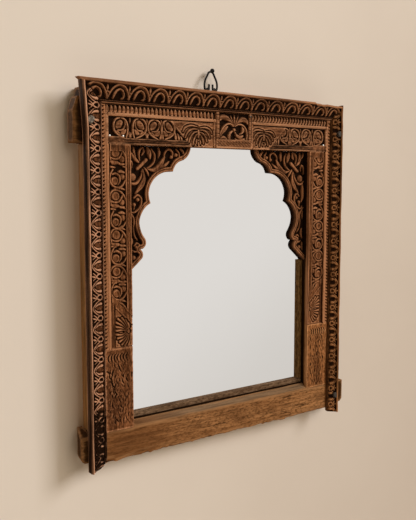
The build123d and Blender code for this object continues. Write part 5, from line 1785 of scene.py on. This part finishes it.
# %% Bracket leaves
BRACKET = [
    ("band", [(21.5, -40.5, 3.2, 6.4), (39.0, -25.0, 3.4, 6.6)]),
    leaf((32.5, -42.0, 1.6, 5.4), (34.5, -56.0, 3.6, 6.4), (30.0, -69.0, 5.4, 6.6),
         (17.5, -84.0, 2.0, 5.0)),
    spot(12.4, -55.5, 7.4, 6.6),
    rib((3.0, -61.0, 1.6, 5.0), (10.0, -66.6, 2.6, 6.2), (20.5, -65.0, 3.0, 6.4), (28.5, -54.0, 2.2, 6.0),
        (30.5, -44.0, 1.0, 4.6)),
    leaf((35.5, -38.5, 1.6, 5.2), (41.0, -45.0, 2.6, 6.0), (46.0, -54.5, 0.8, 4.0)),
    leaf((24.0, -29.0, 2.2, 5.6), (17.0, -23.5, 3.6, 6.4), (10.6, -14.5, 2.2, 5.0)),
    rib((26.5, -26.0, 1.6, 5.0), (24.2, -14.5, 2.4, 6.2), (27.5, -6.5, 2.6, 6.2), (33.0, -3.4, 1.6, 5.0)),
    leaf((34.0, -4.0, 1.4, 5.0), (34.6, -11.0, 2.6, 6.0), (31.0, -17.0, 1.2, 4.4)),
    leaf((43.0, -3.0, 1.8, 5.4), (45.8, -12.0, 5.6, 6.8), (48.0, -22.0, 2.0, 5.2)),
    rib((51.0, -5.5, 1.2, 5.0), (56.6, -15.0, 2.2, 6.2), (55.6, -27.0, 2.4, 6.4), (49.0, -35.0, 2.2, 6.2),
        (41.5, -39.5, 1.4, 5.2)),
    leaf((43.5, -41.0, 1.4, 5.2), (56.0, -42.5, 4.4, 6.6), (68.0, -34.5, 6.2, 6.8),
         (77.5, -19.5, 2.4, 5.6)),
    leaf((69.0, -38.0, 3.0, 6.0), (80.0, -33.0, 3.2, 6.0), (88.0, -26.5, 1.0, 4.4)),
    leaf((65.0, -3.4, 1.8, 5.2), (66.6, -11.0, 3.6, 6.4), (65.0, -20.5, 1.4, 4.8)),
    rib((76.5, -20.0, 1.6, 5.6), (78.5, -11.0, 2.2, 6.4), (86.5, -5.0, 2.4, 6.4), (94.0, -9.5, 2.2, 6.2),
        (94.2, -17.5, 2.0, 5.8)),
    spot(92.6, -19.0, 3.6, 6.4),
    rib((103.0, -4.5, 1.4, 5.0), (108.5, -12.0, 2.0, 6.0), (107.4, -21.5, 2.0, 6.0),
        (100.5, -26.0, 1.4, 4.8)),
    spot(102.6, -15.0, 3.8, 6.2),
    leaf((112.0, -3.4, 1.6, 4.8), (117.5, -8.5, 2.8, 6.0), (119.5, -15.0, 1.0, 4.2)),
    leaf((4.6, -3.2, 1.6, 5.0), (5.6, -9.0, 2.8, 6.0), (8.8, -14.5, 1.0, 4.4)),
    leaf((14.2, -3.6, 1.6, 5.0), (14.8, -11.5, 2.8, 6.2), (18.0, -20.5, 1.0, 4.6)),
    rib((3.4, -46.0, 1.6, 5.2), (4.0, -34.0, 2.6, 6.0), (8.6, -28.2, 2.4, 6.2), (11.4, -33.0, 1.6, 5.4),
        (10.6, -41.0, 0.8, 4.2)),
    leaf((6.0, -68.5, 2.4, 5.6), (5.0, -82.0, 4.4, 6.4), (6.0, -97.0, 3.0, 6.0), (9.0, -104.0, 1.0, 4.6)),
    rib((14.5, -91.5, 1.8, 5.4), (21.0, -86.5, 2.4, 6.4), (28.0, -92.5, 2.4, 6.4), (28.0, -103.0, 2.4, 6.4),
        (21.0, -113.0, 2.4, 6.2), (11.0, -117.5, 1.8, 5.6), (6.0, -112.0, 1.2, 4.8)),
    spot(22.0, -94.5, 4.2, 6.2), spot(14.4, -103.5, 3.8, 6.4),
    rib((14.4, -105.5, 1.6, 5.4), (14.0, -111.5, 1.6, 5.0)),
    rib((2.6, -115.0, 1.4, 5.0), (8.6, -120.5, 2.2, 6.2), (13.4, -130.0, 2.2, 6.2),
        (12.0, -146.0, 2.0, 6.0), (14.5, -158.0, 1.6, 5.4), (20.0, -166.0, 1.2, 4.8)),
    leaf((4.0, -122.0, 1.4, 4.8), (5.4, -130.0, 2.2, 5.8), (4.2, -139.0, 1.0, 4.4)),
    leaf((6.5, -159.0, 1.6, 5.0), (9.0, -168.0, 3.0, 6.2), (5.0, -178.0, 1.4, 4.8)),
    rib((13.5, -176.0, 1.4, 5.2), (18.5, -171.5, 2.0, 6.2), (23.5, -175.0, 2.0, 6.2),
        (22.5, -182.5, 2.0, 6.2), (16.0, -186.5, 1.8, 6.0), (9.5, -184.0, 1.2, 5.0)),
    spot(18.0, -178.6, 3.4, 6.2),
    leaf((4.6, -188.0, 1.6, 5.0), (5.4, -196.0, 2.4, 5.8), (3.6, -204.0, 1.2, 4.8)),
    spot(12.4, -197.5, 4.6, 6.2),
]
print("bracket strokes", len(BRACKET))

# %% Cut the brackets
BRACKET_STEP = 0.72
BRACKET_BACK, BRACKET_FLOOR, ROLL_TOP = 15, 25.0, 32
ROLL_HALF, ROLL_FALL = 3.2, 2.6
RIM_BAND = 8.3
EDGE_SHADE, BACK_SHADE = 0.7, 1.2


def bracket_field(side, u, v, gap):
    """Face and darkness: leaves on a sunk ground, and a rolled rim with a groove along the cusped edge.

    The cusped edge, and on the right bracket a band along it, are painted dark as painted shade.
    """
    ground = np.zeros_like(u)
    raise_strokes(ground, u, v, placed(BRACKET, jitter=0.35))
    roll = ROLL_FALL * (1 - np.sqrt(held(1 - ((ROLL_HALF - gap) / ROLL_HALF) ** 2))) * (gap < ROLL_HALF)
    roll = ROLL_TOP - roll - 1.3 * fine_line(gap - 5.0, 0.65) - 1.2 * held((gap - 7.0) / 1.3)
    face, deep = BRACKET_FLOOR + ground, held(1 - ground / 5.6)
    face, deep = lay(face, deep, gap < RIM_BAND, roll, 0.75 * fine_line(gap - 5.0, 0.7))
    # Painted shade along the cusped edge, wider on the right bracket.
    deep = np.where(gap < 0.3, EDGE_SHADE, deep)
    if side > 0:
        deep = np.maximum(deep, 0.62 * held((3.0 - gap) / 1.2))
    return face + worn(u, v, 101 + side), deep


def trim(piece, keep):
    """Deletes the points that aren't kept."""
    pick(piece)
    bpy.ops.object.mode_set(mode="EDIT")
    bpy.ops.mesh.select_mode(type="VERT")
    bpy.ops.mesh.select_all(action="DESELECT")
    bpy.ops.object.mode_set(mode="OBJECT")
    piece.data.vertices.foreach_set("select", ~keep)
    bpy.ops.object.mode_set(mode="EDIT")
    bpy.ops.mesh.delete(type="VERT")
    bpy.ops.object.mode_set(mode="OBJECT")


def darken_back(mesh):
    """Paints the points at the back darkest, as painted shade on the bracket's side walls."""
    deep = np.zeros(len(mesh.vertices), np.float32)
    values = mesh.attributes["depth"].data
    values.foreach_get("value", deep)
    behind = read_points(mesh)[:, 1] > -(BRACKET_BACK + 1) * MM
    values.foreach_set("value", np.where(behind, BACK_SHADE, deep).astype(np.float32))


def bracket(name, node, side):
    """A carved bracket; side -1 stands in the left corner."""
    nx, nz = int(SPAN / BRACKET_STEP) + 2, int(DROP / BRACKET_STEP) + 2
    piece = flat_grid(name, nx, nz)
    u, v = (q.ravel() for q in np.meshgrid(np.linspace(0, SPAN, nx), np.linspace(-DROP, 0, nz)))
    gap, near = distance_to(cusp, u, v)
    keep = inside(np.vstack([[(0, 0)], cusp]), u, v) | (gap < BRACKET_STEP * 0.5)
    snap = keep & (gap < BRACKET_STEP * 0.62)
    u, v = np.where(snap, near[:, 0], u), np.where(snap, near[:, 1], v)
    face, deep = bracket_field(side, u, v, np.where(snap, 0, gap))
    write_points(piece.data, np.stack([side * OPENING_X - side * u, -face, OPENING_TOP + v], axis=1))
    write_mark(piece.data, "depth", deep)
    trim(piece, keep)
    close_back(piece, BRACKET_BACK)
    darken_back(piece.data)
    mark_ridges(piece.data)
    stand_for(piece, node, bracket_z)


bracket("left_arch_bracket", "left_bracket", -1)
bracket("right_arch_bracket", "right_bracket", 1)

# %% [markdown]
# ## Mirror
# The photograph's mirror shows nothing but the pale room. The frame's own meshes are therefore hidden
# from glossy rays, so that their dark reflection doesn't edge the opening.

# %% Keep the mirror clear
for thing in bpy.context.scene.objects:
    if thing.type == "MESH" and thing not in (wall, floor):
        thing.visible_glossy = False
print("the mirror shows the pale room")
